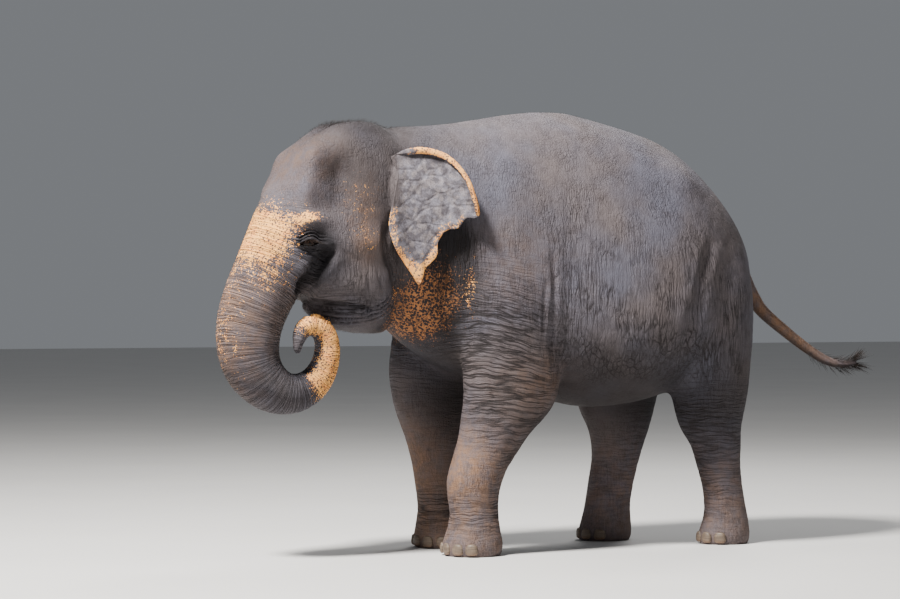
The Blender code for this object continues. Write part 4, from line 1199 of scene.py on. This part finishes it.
def eyeball(name, side):
    bm = bmesh.new()
    gaze = bm.verts.layers.float.new("gaze")
    spoke = bm.verts.layers.float.new("spoke")
    mirror = np.array((side, 1.0, 1.0))
    frame_axes = np.array((EYE_BACK * mirror, EYE_UP * mirror, EYE_OUT * mirror))
    rows = []
    for ring in range(1, EYE_RINGS):
        angle = math.pi * (ring / EYE_RINGS) ** 1.25
        bulge = CORNEA_BULGE * float(1 - smooth_step(angle, 0.0, CORNEA_ANGLE))
        row = []
        for turn in turn_angles(EYE_SEGMENTS):
            round_it = math.sin(angle)
            way = (round_it * math.cos(turn), round_it * math.sin(turn), math.cos(angle))
            way = np.array(way)
            vert = bm.verts.new(EYE_CENTRE * mirror + (EYE_RADIUS + bulge) * way @ frame_axes)
            vert[gaze], vert[spoke] = angle, turn
            row.append(vert)
        rows.append(row)
    front = bm.verts.new(EYE_CENTRE * mirror + (EYE_RADIUS + CORNEA_BULGE) * frame_axes[2])
    rear = bm.verts.new(EYE_CENTRE * mirror - EYE_RADIUS * frame_axes[2])
    rear[gaze] = math.pi
    for i in range(EYE_SEGMENTS):
        j = (i + 1) % EYE_SEGMENTS
        bm.faces.new((front, rows[0][i], rows[0][j]))
        bm.faces.new((rear, rows[-1][j], rows[-1][i]))
        for near, far in zip(rows, rows[1:]):
            bm.faces.new((near[i], far[i], far[j], near[j]))
    return smoothed(placed(object_from_bmesh(name, bm)))


eyes = {1: eyeball("glass_eye_left", 1), -1: eyeball("glass_eye_right", -1)}
print("eyes:", [len(eye.data.polygons) for eye in eyes.values()])

# %% [markdown]
# ## Toenails
#
# Horn plates let into the edge of the foot, five in front and four behind. Each is a rounded
# shield a little flatter below, where it wears. Its place, size and bearing come from its solid.

# %% Shape the nails
NAIL_GRID = 14
NAIL_SHAPE = 2.8  # squareness of its outline
NAIL_PROUD = -0.001


def nail_shield(bm, centre, outwards, half):
    """A domed plate about the centre, facing outwards."""
    across = Vector((-outwards.y, outwards.x, 0))
    up = Vector((0, 0, 1))
    steps = np.linspace(-1, 1, NAIL_GRID + 1)
    sheets = []
    for face in (1, -1):
        rows = []
        for v in steps:
            row = []
            for u in steps:
                longest = max(abs(u), abs(v), 1e-9)
                rounded = (abs(u) ** NAIL_SHAPE + abs(v) ** NAIL_SHAPE) ** (1 / NAIL_SHAPE)
                reach = max(rounded / longest, 1.0)
                a, b = u / reach, v / reach
                radius = min(1.0, math.hypot(a, b))
                dome = math.sqrt(max(0.0, 1 - max(abs(u), abs(v)) ** 3))
                width = half[0] * (1.0 - 0.1 * b)
                depth = face * half[1] * dome * (1.0 + 0.12 * -b)
                depth -= 0.006 * a * a * radius
                row.append(centre + across * a * width + up * b * half[2] + outwards * depth)
            rows.append(row)
        sheets.append(rows)
    grid = [[[bm.verts.new(p) for p in row] for row in sheet] for sheet in sheets]
    for rows in grid:
        for low, high in zip(rows, rows[1:]):
            for j in range(NAIL_GRID):
                bm.faces.new((low[j], low[j + 1], high[j + 1], high[j]))


def nails_of(foot, rows, side):
    """All the nails of one foot as one piece, and the solids that they stand for."""
    solids = sorted(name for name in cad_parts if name.startswith("nail_" + foot))
    _, x, y, _, _ = rows[1]
    middle = Vector((side * x + SHIFT[0], y + SHIFT[1], 0))
    bm = bmesh.new()
    for solid in solids:
        low, high = (Vector(corner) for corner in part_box(solid))
        centre = (low + high) / 2
        outwards = Vector((centre.x - middle.x, centre.y - middle.y, 0)).normalized()
        tall = (high.z - low.z) / 2
        half = (tall * 1.0, tall * 0.34, tall * 0.9)
        nail_shield(bm, centre + outwards * NAIL_PROUD, outwards, half)
    bmesh.ops.remove_doubles(bm, verts=bm.verts, dist=0.00005)
    return smoothed(object_from_bmesh("toenails_" + foot, bm)), solids


nails = [nails_of(foot, rows, side) for foot, rows, side in LEGS]
print("nails:", [(piece.name, len(piece.data.polygons)) for piece, _ in nails])

# %% [markdown]
# ## Hair
#
# An elephant is nearly bare: stiff single bristles on crown, back, chin and trunk, long lashes
# over the eye, and a tuft at the end of the tail. Each bristle is a thin bent spike. Roots are
# picked on the skin by weight; one Geometry Nodes tree then sets a spike on every root, turned
# the way the hair lies. Each spike also remembers where its root is on a flat map of the skin.

# %% A kit for nodes
class Flow:
    """A socket that can be used in sums: each sign adds a Math node."""

    def __init__(self, kit, socket):
        self.kit, self.socket = kit, socket

    def math(self, operation, *values):
        return self.kit.node("ShaderNodeMath", {"operation": operation}, values)

    def __add__(self, other):
        return self.math("ADD", self, other)

    def __sub__(self, other):
        return self.math("SUBTRACT", self, other)

    def __rsub__(self, other):
        return self.math("SUBTRACT", other, self)

    def __mul__(self, other):
        return self.math("MULTIPLY", self, other)

    def __pow__(self, other):
        return self.math("POWER", self, other)

    __radd__ = __add__
    __rmul__ = __mul__

    def other(self, out):
        """Another output of the same node."""
        return Flow(self.kit, self.socket.node.outputs[out])

    def step(self, low, high):
        """0 below low, 1 above high, and a soft step between."""
        ends = {"Value": self, "From Min": low, "From Max": high}
        return self.kit.node("ShaderNodeMapRange", {"interpolation_type": "SMOOTHSTEP"}, ends)


class Kit:
    """Adds nodes to one tree."""

    def __init__(self, tree):
        self.tree = tree

    def node(self, kind, settings=(), values=(), out=0):
        made = self.tree.nodes.new(kind)
        for name, value in dict(settings).items():
            setattr(made, name, value)
        for name, value in values.items() if isinstance(values, dict) else enumerate(values):
            if isinstance(value, Flow):
                self.tree.links.new(value.socket, made.inputs[name])
            else:
                made.inputs[name].default_value = value
        return Flow(self, made.outputs[out])

    def vector(self, operation, *values):
        return self.node("ShaderNodeVectorMath", {"operation": operation}, values)


# %% The bristle tree
BRISTLE_SIDES, BRISTLE_STEPS = 3, 5
BRISTLE_INPUTS = {
    "Roots": "Geometry",
    "Bend": "Float",
    "Skin map": "Object",
    "Finish": "Material",
}
MAP_PATCH = 0.003  # how much of the flat map one bristle takes


def named(kit, name, kind="FLOAT_VECTOR"):
    return kit.node("GeometryNodeInputNamedAttribute", {"data_type": kind}, {"Name": name})


def kept(kit, shape, name, value, kind="FLOAT_VECTOR", domain="POINT"):
    settings = {"data_type": kind, "domain": domain}
    sockets = {"Geometry": shape, "Name": name, "Value": value}
    return kit.node("GeometryNodeStoreNamedAttribute", settings, sockets)


def bristle_tree():
    tree = bpy.data.node_groups.new("bristles", "GeometryNodeTree")
    for name, kind in BRISTLE_INPUTS.items():
        tree.interface.new_socket(name, in_out="INPUT", socket_type="NodeSocket" + kind)
    tree.interface.new_socket("Geometry", in_out="OUTPUT", socket_type="NodeSocketGeometry")
    kit = Kit(tree)
    given = tree.nodes.new("NodeGroupInput")
    roots, bend, skin_map, finish = (Flow(kit, given.outputs[i]) for i in range(4))
    tip = kit.node("ShaderNodeCombineXYZ", (), (bend, 0.0, 1.0))
    line = {"Resolution": BRISTLE_STEPS, "Start": (0, 0, 0), "Middle": (0, 0, 0.6), "End": tip}
    curve = kit.node("GeometryNodeCurveQuadraticBezier", (), line)
    share = kit.node("GeometryNodeSplineParameter")
    width = 1.04 - share**2
    curve = kit.node("GeometryNodeSetCurveRadius", (), {"Curve": curve, "Radius": width})
    sides = {"Resolution": BRISTLE_SIDES, "Radius": 1.0}
    ring = kit.node("GeometryNodeCurvePrimitiveCircle", {"mode": "RADIUS"}, sides)
    sweep = {"Curve": curve, "Profile Curve": ring, "Fill Caps": True}
    spike = kit.node("GeometryNodeCurveToMesh", (), sweep)
    place = kit.node("GeometryNodeInputPosition")
    spike = kept(kit, spike, "patch", kit.vector("MULTIPLY", place, (0.3, 0.0, 1.0)))
    parts = kit.node("ShaderNodeSeparateXYZ", (), (named(kit, "patch"),))
    patch = kit.node("ShaderNodeCombineXYZ", (), (parts, parts.other(2), 0.0))
    surface = kit.node("GeometryNodeObjectInfo", (), {"Object": skin_map}).other("Geometry")
    lookup = {"Mesh": surface, "Value": named(kit, "flat_map")}
    on_map = kit.node("GeometryNodeSampleNearestSurface", {"data_type": "FLOAT_VECTOR"}, lookup)
    roots = kept(kit, roots, "root_map", on_map)
    align = "FunctionNodeAlignRotationToVector"
    turn = kit.node(align, {"axis": "Z"}, {"Vector": named(kit, "way")})
    lean = {"Rotation": turn, "Vector": named(kit, "toward")}
    turn = kit.node(align, {"axis": "X", "pivot_axis": "Z"}, lean)
    spikes = {"Points": roots, "Instance": spike, "Rotation": turn, "Scale": named(kit, "size")}
    hair = kit.node("GeometryNodeInstanceOnPoints", (), spikes)
    hair = kit.node("GeometryNodeRealizeInstances", (), {"Geometry": hair})
    patch = kit.vector("MULTIPLY", patch, (MAP_PATCH, MAP_PATCH, 0.0))
    flat = kit.vector("ADD", named(kit, "root_map"), patch)
    hair = kept(kit, hair, "OFBake", flat, "FLOAT2", "CORNER")
    hair = kit.node("GeometryNodeSetMaterial", (), {"Geometry": hair, "Material": finish})
    done = tree.nodes.new("NodeGroupOutput")
    tree.links.new(hair.socket, done.inputs[0])
    return tree


bristles = bristle_tree()
print("bristle tree:", len(bristles.nodes), "nodes")

# %% A flat map of the skin
MAP_FACES = 9000


def map_of(item):
    """A thinned copy of the skin, unwrapped, to look up where each root lies on the map."""
    sheet = object_from("skin_map", item.data.copy())
    modify(sheet, "DECIMATE", ratio=MAP_FACES / len(item.data.polygons))
    settle(sheet)
    sheet.data.uv_layers.new(name="flat_map")
    bpy.context.view_layer.objects.active = sheet
    sheet.select_set(True)
    bpy.ops.object.mode_set(mode="EDIT")
    bpy.ops.mesh.select_all(action="SELECT")
    bpy.ops.uv.smart_project(angle_limit=math.radians(66), island_margin=0.004)
    bpy.ops.object.mode_set(mode="OBJECT")
    return sheet


skin_map = map_of(skin)
print("skin map:", len(skin_map.data.polygons), "faces")

# %% Pick the roots and grow the bristles
def scattered(item, weights, count, seed):
    """Random places on the surface, picked by weight, with the normal at each."""
    mesh = item.data
    mesh.calc_loop_triangles()
    corners = np.empty(len(mesh.loop_triangles) * 3, np.int32)
    mesh.loop_triangles.foreach_get("vertices", corners)
    corners = corners.reshape(-1, 3)
    place = points_of(item)[corners]
    area = np.linalg.norm(np.cross(place[:, 1] - place[:, 0], place[:, 2] - place[:, 0]), axis=1)
    chance = area * weights[corners].mean(axis=1)
    dice = np.random.default_rng(seed)
    pick = dice.choice(len(corners), count, p=chance / chance.sum())
    a, b = dice.random((2, count))
    a, b = np.where(a + b > 1, (1 - a, 1 - b), (a, b))
    share = np.stack([1 - a - b, a, b], axis=1)[:, :, None]
    out = (normals_of(item)[corners[pick]] * share).sum(axis=1)
    return (place[pick] * share).sum(axis=1), out, dice


def grown(name, places, ways, toward, wide, long, bend):
    """One joined mesh with a spike on each root."""
    sizes = np.column_stack([wide, wide, long])
    mesh = bpy.data.meshes.new(name)
    mesh.from_pydata([tuple(p) for p in places], [], [])
    hair = object_from(name, mesh)
    for key, values in (("way", unit(ways)), ("toward", unit(toward)), ("size", sizes)):
        stored(hair, key, values)
    grow = hair.modifiers.new("Grow", "NODES")
    grow.node_group = bristles
    inputs = {s.name: s.identifier for s in bristles.interface.items_tree if s.in_out == "INPUT"}
    grow[inputs["Bend"]] = bend
    grow[inputs["Skin map"]] = skin_map
    grow[inputs["Finish"]] = hair_paint
    settle(hair)
    return smoothed(hair)


hair_paint = bpy.data.materials.new("dark_bristle")
HAIR_ZONES = (  # with the head already turned
    (0.0, -1.12, 2.3, 0.2, 0.24, 0.09, 1.0),  # crown
    (0.0, 0.1, 2.4, 0.15, 1.3, 0.12, 0.1),  # back
    (0.0, -1.28, 1.27, 0.1, 0.18, 0.09, 0.6),  # chin
    (0.0, -1.8, 1.5, 0.2, 0.2, 0.5, 0.1),  # trunk
    (0.0, 1.42, 1.6, 0.12, 0.16, 0.4, 0.2),  # root of the tail
)
BODY_BRISTLES = 3600
BRISTLE_RADIUS = 0.00034
weights = zone_weight(points_of(skin) - SHIFT, HAIR_ZONES)
places, out, dice = scattered(skin, weights, BODY_BRISTLES, 5)
crown = spread(places - SHIFT, HAIR_ZONES[0])
lie = np.array((0.0, 0.75, -0.35)) + dice.normal(0.0, 0.25, (BODY_BRISTLES, 3))
long = (0.007 + 0.012 * crown) * dice.uniform(0.5, 1.3, BODY_BRISTLES)
wide = np.full(BODY_BRISTLES, BRISTLE_RADIUS)
body_hair = grown("bristles_body", places, unit(out) * 0.8 + lie * 0.6, lie, wide, long, 0.35)
print("body bristles:", len(body_hair.data.polygons), "faces")

# %% Lashes
LASHES = 90
LASH_LONG = (0.03, 0.058)
LASH_RADIUS = 0.00055


def lashes(name, side, seed):
    dice = np.random.default_rng(seed)
    across = np.sort(dice.uniform(-0.95, 0.95, LASHES))
    back = across * OPENING_HALF
    sag = 1 - np.abs(across) ** SAG_POWER
    up = OPENING_UP * sag + 0.0015 + dice.normal(0, 0.0008, LASHES) + droop_at(back)
    out = np.sqrt(np.maximum((EYE_RADIUS + LID_THICKNESS) ** 2 - back**2 - up**2, 0.0)) - 0.002
    mirror = np.array((side, 1.0, 1.0))
    axes = np.array((EYE_BACK, EYE_UP, EYE_OUT)) * mirror
    roots = EYE_CENTRE * mirror + np.column_stack([back, up, out]) @ axes
    lean = np.column_stack([0.9 * across, np.full(LASHES, -0.25), np.ones(LASHES)])
    lean += dice.normal(0, 0.12, (LASHES, 3))
    down = np.column_stack([0.3 * across, np.full(LASHES, -1.0), np.full(LASHES, 0.1)])
    long = dice.uniform(*LASH_LONG, LASHES) * (1 - 0.35 * np.abs(across))
    wide = np.full(LASHES, LASH_RADIUS)
    spin = np.array(Matrix.Rotation(HEAD_TURN, 3, "Z")).T
    roots = placed_points(roots)
    return grown(name, roots, lean @ axes @ spin, down @ axes @ spin, wide, long, 0.55)


lash_pieces = [lashes("lashes_left", 1, 11), lashes("lashes_right", -1, 12)]
print("lashes:", [len(piece.data.polygons) for piece in lash_pieces])

# %% Tuft of the tail
TUFT = 330
TUFT_REACH = 0.36  # how far up the tail it starts
tail_path = catmull_rom([(x, y, z, r) for x, y, z, r in TAIL], 0.01)
tail_way = unit(np.gradient(tail_path[:, :3], axis=0))
from_tip = run_along(tail_path[::-1, :3])[::-1]
dice = np.random.default_rng(21)
chance = np.clip(1 - from_tip / TUFT_REACH, 0, 1) ** 1.3 + 1.5 * (from_tip < 0.03)
pick = dice.choice(len(tail_path), TUFT, p=chance / chance.sum())
turn = dice.uniform(0, 2 * math.pi, TUFT)
# A tail's tuft grows mostly on its upper and lower edges.
edge = np.sign(np.sin(turn)) * np.abs(np.sin(turn)) ** 0.4
flat = unit(np.cross(tail_way[pick], (1.0, 0.0, 0.0)))
side = np.cos(turn)[:, None] * np.array((1.0, 0, 0)) + edge[:, None] * flat
roots = tail_path[pick, :3] + unit(side) * tail_path[pick, 3:] * 0.8
way = tail_way[pick] * 0.9 + unit(side) * 0.55 + dice.normal(0, 0.1, (TUFT, 3))
toward = tail_way[pick] * 0.5 + np.array((0, 0, -0.9)) + dice.normal(0, 0.25, (TUFT, 3))
near_tip = np.clip(1 - from_tip[pick] / TUFT_REACH, 0, 1)
long = dice.uniform(0.04, 0.08, TUFT) * (0.55 + 0.45 * near_tip)
wide = dice.uniform(0.0006, 0.001, TUFT)
tuft = grown("tail_tuft", roots + SHIFT, way, toward, wide, long, 0.45)
bpy.data.objects.remove(skin_map, do_unlink=True)
reaches = float(points_of(tuft)[:, 1].max())
print("tuft:", len(tuft.data.polygons), "faces, reaches y", round(reaches, 3))

# %% [markdown]
# ## Paint
#
# Real elephant skin is grey-brown, bluer where it is clean, browner where dust holds; it is cut
# by a net of creases whose cells are long across the way the skin bends. Where pigment is missing
# it is pale orange with dark freckles. Shade is painted into the colour as well: in the creases,
# under the body, in hollows and grooves, round the eyes and on the neck under the ear. All of it
# is made from noise and cell patterns laid on the stored places, so it follows trunk and
# shoulder.

# %% A paint pot
def tint(red, green, blue):
    """A colour given as on a paint chart, 0 to 255, as light."""
    chart = np.array((red, green, blue)) / 255
    light = np.where(chart > 0.04045, ((chart + 0.055) / 1.055) ** 2.4, chart / 12.92)
    return (*light.tolist(), 1.0)


class Paint(Kit):
    """A material with its own helpers for patterns."""

    def __init__(self, material):
        material.use_nodes = True
        super().__init__(material.node_tree)
        self.shader = self.tree.nodes["Principled BSDF"]
        self.material = material

    def put(self, **values):
        for name, value in values.items():
            socket = self.shader.inputs[name.replace("_", " ")]
            if isinstance(value, Flow):
                self.tree.links.new(value.socket, socket)
            else:
                socket.default_value = value

    def note(self, name):
        return self.node("ShaderNodeAttribute", {"attribute_name": name}, (), "Fac")

    def note_vector(self, name):
        return self.node("ShaderNodeAttribute", {"attribute_name": name}, (), "Vector")

    def here(self):
        return self.node("ShaderNodeTexCoord", (), (), "Object")

    def mix(self, share, first, second):
        """Second over first, by share."""
        values = {0: share, 6: first, 7: second}
        return self.node("ShaderNodeMix", {"data_type": "RGBA"}, values, 2)

    def noise(self, place, scale, detail=2.0, rough=0.5):
        values = {"Vector": place, "Scale": scale, "Detail": detail, "Roughness": rough}
        return self.node("ShaderNodeTexNoise", (), values)

    def warped(self, place, scale, amount):
        """The place pushed about by noise, in metres."""
        values = {"Vector": place, "Scale": scale, "Detail": 1.0}
        push = self.node("ShaderNodeTexNoise", (), values, "Color")
        push = self.vector("SUBTRACT", push, (0.5, 0.5, 0.5))
        push = self.vector("MULTIPLY", push, (2 * amount, 2 * amount, 2 * amount))
        return self.vector("ADD", place, push)

    def creases(self, place, cells, width):
        """1 in the grooves between cells; cells per metre along each axis, width in cells."""
        place = self.vector("MULTIPLY", place, cells)
        values = {"Vector": place, "Scale": 1.0}
        edge = self.node("ShaderNodeTexVoronoi", {"feature": "DISTANCE_TO_EDGE"}, values)
        return 1 - edge.step(0.0, width)

    def bumped(self, height, distance):
        values = {"Height": height, "Distance": distance, "Strength": 1.0}
        return self.node("ShaderNodeBump", (), values)


# %% Paint the skin
GREY_WARM = tint(101, 92, 92)
GREY_COOL = tint(92, 91, 102)
GREY_DEEP = tint(60, 53, 54)
EAR_GREY = tint(132, 128, 137)
EAR_PALE = tint(176, 164, 162)
SHADE = tint(17, 16, 20)
CREASE_SHADE = tint(30, 25, 25)
DUST = tint(146, 112, 88)
PALE = tint(252, 182, 100)
PALE_ROSY = tint(236, 146, 80)
NET = tint(158, 104, 62)


def paint_skin(material):
    paint = Paint(material)
    fold = paint.note_vector("fold_place")
    here = paint.here()
    level, upright, ear, trunk = map(paint.note, ("level", "upright", "ear", "trunk"))
    pale, dark, dust = map(paint.note, ("pale", "dark", "dust"))
    loose = paint.warped(fold, 7.0, 0.018)
    loose = paint.warped(loose, 26.0, 0.004)
    level_folds = paint.creases(loose, (3.2, 3.2, 46.0), 0.17)
    level_lines = paint.creases(loose, (9.0, 9.0, 104.0), 0.17)
    upright_folds = paint.creases(loose, (40.0, 40.0, 2.8), 0.17)
    upright_lines = paint.creases(loose, (84.0, 84.0, 7.0), 0.18)
    net = paint.creases(loose, (46.0, 46.0, 46.0), 0.14)
    fine = paint.creases(loose, (130.0, 130.0, 130.0), 0.22)
    pebble = paint.noise(fold, 420.0, 2.0, 0.6)
    broken = paint.noise(fold, 6.0, 3.0).step(0.3, 0.65)
    plain = (1 - level) * (1 - upright * 0.8) * (1 - 0.9 * ear)
    deep = level_folds * level + upright_folds * (upright + 0.16 * plain) * (0.25 + 0.75 * broken)
    lines = level_lines * (level * 0.9 + 0.1) * (0.4 + 0.6 * broken)
    lines = lines + upright_lines * (upright * 0.8 + plain * 0.5) * (0.3 + 0.7 * broken)
    lines = lines * (1 - 0.8 * ear)
    veins = paint.creases(paint.warped(here, 8.0, 0.03), (7.0, 9.0, 13.0), 0.16) * ear
    cells = net * (0.26 + 0.26 * plain) * (0.4 + 0.6 * broken) * (1 - 0.3 * ear)

    patchy = paint.noise(here, 1.7, 3.0, 0.55)
    mottled = paint.noise(here, 19.0, 4.0, 0.6)
    speckle = paint.noise(here, 140.0, 2.0, 0.55)
    blotch = paint.noise(here, 26.0, 2.0, 0.5)
    colour = paint.mix(patchy.step(0.35, 0.7), GREY_WARM, GREY_COOL)
    colour = paint.mix(mottled.step(0.4, 0.75) * 0.3, colour, GREY_DEEP)
    ear_tone = paint.mix(mottled.step(0.38, 0.6) * 0.65, EAR_GREY, GREY_DEEP)
    ear_tone = paint.mix(blotch.step(0.45, 0.65) * 0.35, ear_tone, EAR_PALE)
    ear_tone = paint.mix(speckle.step(0.46, 0.66) * 0.45, ear_tone, GREY_DEEP)
    colour = paint.mix(ear, colour, ear_tone)
    dusty = dust * (0.35 + 0.65 * mottled.step(0.3, 0.66))
    colour = paint.mix(dusty, colour, DUST)
    # Painted shade from the dark note: undersides, hollows, grooves, lids and the neck under the
    # ear, with darker skin tone on the head and the net.
    colour = paint.mix(dark * 0.9, colour, SHADE)

    # Orange net: pale ground closely set with round dark spots.
    spots = {"Vector": paint.warped(here, 30.0, 0.006), "Scale": 74.0}
    spots = paint.node("ShaderNodeTexVoronoi", {"feature": "F1"}, spots, "Distance")
    spots = (spots + pale.step(0.4, 1.0) * 0.17).step(0.43, 0.56)
    chance = speckle * 0.64 + blotch * 0.36 - 0.5
    netted = (paint.note("net") * 0.66 + chance * 2.0).step(0.42, 0.74) * spots
    colour = paint.mix(netted, colour, NET)
    # Pale zones: the less pale, the more and larger the dark freckles.
    pale_mask = (pale * 1.05 + chance * 3.2).step(0.5, 0.64)
    pale_mask = pale_mask * pale.step(0.01, 0.08)
    pale_tone = paint.mix(mottled.step(0.42, 0.66) * 0.6, PALE, PALE_ROSY)
    colour = paint.mix(pale.step(0.3, 0.9) * 0.65, colour, GREY_DEEP)
    colour = paint.mix(pale_mask * (0.04 + 0.96 * spots), colour, pale_tone)

    # Painted shade deep inside the lid opening.
    colour = paint.mix(paint.note("inside_lids"), colour, tint(14, 10, 10))
    # Painted shade in the creases and skin cells; the ear's veins are darkened the same way.
    grooves = deep * 0.72 + lines * 0.46 + cells * 0.26 + fine * 0.12 + veins * 0.22
    grooves = grooves * (1 - 0.45 * pale_mask) * (1 - 0.4 * trunk)
    colour = paint.mix(grooves.math("MINIMUM", grooves, 0.9), colour, CREASE_SHADE)
    cut = deep * 0.55 + lines * 0.3 + cells * 0.2 + fine * 0.075 + veins * 0.3
    height = 1 - cut + pebble * 0.06
    rough = 0.62 + 0.16 * mottled + 0.12 * pebble
    paint.put(Base_Color=colour, Roughness=rough, Normal=paint.bumped(height, 0.009))
    paint.put(Specular_IOR_Level=0.2)
    return material


skin_paint = paint_skin(bpy.data.materials.new("elephant_hide"))
print("hide:", len(skin_paint.node_tree.nodes), "nodes")

# %% Paint the eyes, the nails and the bristles
IRIS_EDGE, PUPIL_EDGE = 0.46, 0.17  # angles from the line of sight


def paint_eye(material):
    paint = Paint(material)
    gaze, spoke = paint.note("gaze"), paint.note("spoke")
    streak = paint.node("ShaderNodeCombineXYZ", (), (spoke * 9.0, gaze * 5.0, 0.0))
    fibres = paint.noise(streak, 2.2, 4.0, 0.6)
    iris = paint.mix(fibres.step(0.35, 0.7), tint(14, 9, 7), tint(38, 23, 14))
    iris = paint.mix(gaze.step(IRIS_EDGE * 0.72, IRIS_EDGE), iris, tint(22, 13, 9))
    cloudy = paint.noise(paint.here(), 160.0, 4.0).step(0.4, 0.7)
    white = paint.mix(cloudy, tint(26, 19, 18), tint(17, 13, 12))
    white = paint.mix(gaze.step(IRIS_EDGE, IRIS_EDGE + 0.42), tint(20, 14, 12), white)
    colour = paint.mix(gaze.step(IRIS_EDGE - 0.01, IRIS_EDGE + 0.03), iris, white)
    colour = paint.mix(1 - gaze.step(PUPIL_EDGE - 0.02, PUPIL_EDGE + 0.02), colour, tint(6, 4, 4))
    paint.put(Base_Color=colour, Roughness=0.25, Coat_Weight=0.14, Coat_Roughness=0.04)
    paint.put(Specular_IOR_Level=0.06)
    return material


def paint_nail(material):
    paint = Paint(material)
    here = paint.here()
    ridges = paint.noise(paint.vector("MULTIPLY", here, (260.0, 260.0, 24.0)), 1.0, 3.0, 0.6)
    bands = paint.noise(paint.vector("MULTIPLY", here, (14.0, 14.0, 120.0)), 1.0, 2.0, 0.5)
    colour = paint.mix(bands.step(0.35, 0.68), tint(88, 75, 64), tint(114, 98, 82))
    colour = paint.mix(ridges.step(0.45, 0.75) * 0.45, colour, tint(78, 62, 50))
    low = paint.node("ShaderNodeSeparateXYZ", (), (here,), 2)
    colour = paint.mix((1 - low.step(0.004, 0.034)) * 0.6, colour, DUST)
    height = ridges * 0.6 + bands * 0.4
    paint.put(Base_Color=colour, Roughness=0.42 + 0.25 * ridges)
    paint.put(Normal=paint.bumped(height, 0.0012))
    return material


def paint_bristle(material):
    paint = Paint(material)
    shade = paint.noise(paint.here(), 40.0, 2.0).step(0.35, 0.65)
    colour = paint.mix(shade, tint(12, 9, 8), tint(36, 26, 21))
    paint.put(Base_Color=colour, Roughness=0.6, Specular_IOR_Level=0.15)
    return material


eye_paint = paint_eye(bpy.data.materials.new("wet_eye"))
nail_paint = paint_nail(bpy.data.materials.new("worn_nail"))
paint_bristle(hair_paint)
print("paints:", [m.name for m in bpy.data.materials if m.users])

# %% [markdown]
# ## The pieces in place of the solids
#
# One skin stands for every solid of flesh. Eyes and nails stand for their own solids, and the
# hair is extra. Nothing moves, so all of it rides on the one body.

# %% Dress and fix the pieces
def dressed(piece, paint):
    piece.data.materials.clear()
    piece.data.materials.append(paint)
    return piece


flesh = [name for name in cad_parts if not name.startswith(("eye_", "nail_"))]
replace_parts(dressed(skin, skin_paint), *flesh)
for side, eye in eyes.items():
    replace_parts(dressed(eye, eye_paint), "eye_left" if side > 0 else "eye_right")
for piece, solids in nails:
    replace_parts(dressed(piece, nail_paint), *solids)
coat = [body_hair, *lash_pieces, tuft]
for piece in [skin, *eyes.values(), *(piece for piece, _ in nails), *coat]:
    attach(piece, "root")
print("one skin stands for", len(flesh), "solids")

# %% [markdown]
# ## Studio
#
# A pale floor, a soft sky of one tone, a large high light in front and to the animal's left, and
# a weak one from the other side. The camera is level, far off, with a long lens.

# %% Floor, light and camera
CAMERA_WAY = Vector((0.891007, -0.45399, 0.0))  # from the animal to the camera
CAMERA_FAR = 15.0
CAMERA_AIM = Vector((0.0, -0.49, 1.36))
LENS, SENSOR = 111.0, 36.0
FLOOR_HALF = 60.0
SKY, SKY_STRENGTH = (0.86, 0.9, 0.96, 1.0), 0.22


def worn_floor(name, colour, rough):
    paint = Paint(bpy.data.materials.new(name))
    worn = paint.noise(paint.here(), 0.8, 3.0)
    paint.put(Base_Color=paint.mix(worn * 0.3, colour, tint(226, 224, 220)), Roughness=rough)
    return paint.material


def lamp(name, place, aim, size, power, colour=(1.0, 1.0, 1.0)):
    light = bpy.data.lights.new(name, "AREA")
    light.size, light.energy, light.color = size, power, colour
    made = object_from(name, light)
    made.location = place
    made.rotation_euler = (Vector(aim) - Vector(place)).to_track_quat("-Z", "Y").to_euler()
    return made


bm = bmesh.new()
corners = ((-1, -1), (1, -1), (1, 1), (-1, 1))
bm.faces.new([bm.verts.new((x * FLOOR_HALF, y * FLOOR_HALF, 0.0)) for x, y in corners])
floor = object_from_bmesh("studio_floor", bm)
dressed(floor, worn_floor("floor_paint", tint(196, 194, 191), 0.85))
world = bpy.data.worlds.new("studio")
bpy.context.scene.world = world
world.use_nodes = True
sky = world.node_tree.nodes["Background"].inputs
sky["Color"].default_value, sky["Strength"].default_value = SKY, SKY_STRENGTH
lamp("key", (2.2, -5.6, 8.8), (0.0, -0.2, 1.4), 1.5, 3800.0, (1.0, 0.98, 0.95))
lamp("rear", (-4.0, 4.5, 7.5), (0.0, 0.3, 1.4), 3.0, 420.0)
camera = object_from("camera", bpy.data.cameras.new("camera"))
aim = CAMERA_AIM + Vector(SHIFT.tolist())
camera.location = aim + CAMERA_WAY * CAMERA_FAR
camera.rotation_euler = CAMERA_WAY.to_track_quat("Z", "Y").to_euler()
camera.data.lens, camera.data.sensor_width = LENS, SENSOR
camera.data.clip_end = 300.0
bpy.context.scene.camera = camera
print("camera", [round(v, 3) for v in camera.location])

# %% Measure and finish
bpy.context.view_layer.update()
pieces = [skin, *eyes.values(), *(piece for piece, _ in nails), *coat]
for piece in pieces:
    piece.data.calc_loop_triangles()
print("triangles:", {piece.name: len(piece.data.loop_triangles) for piece in pieces})
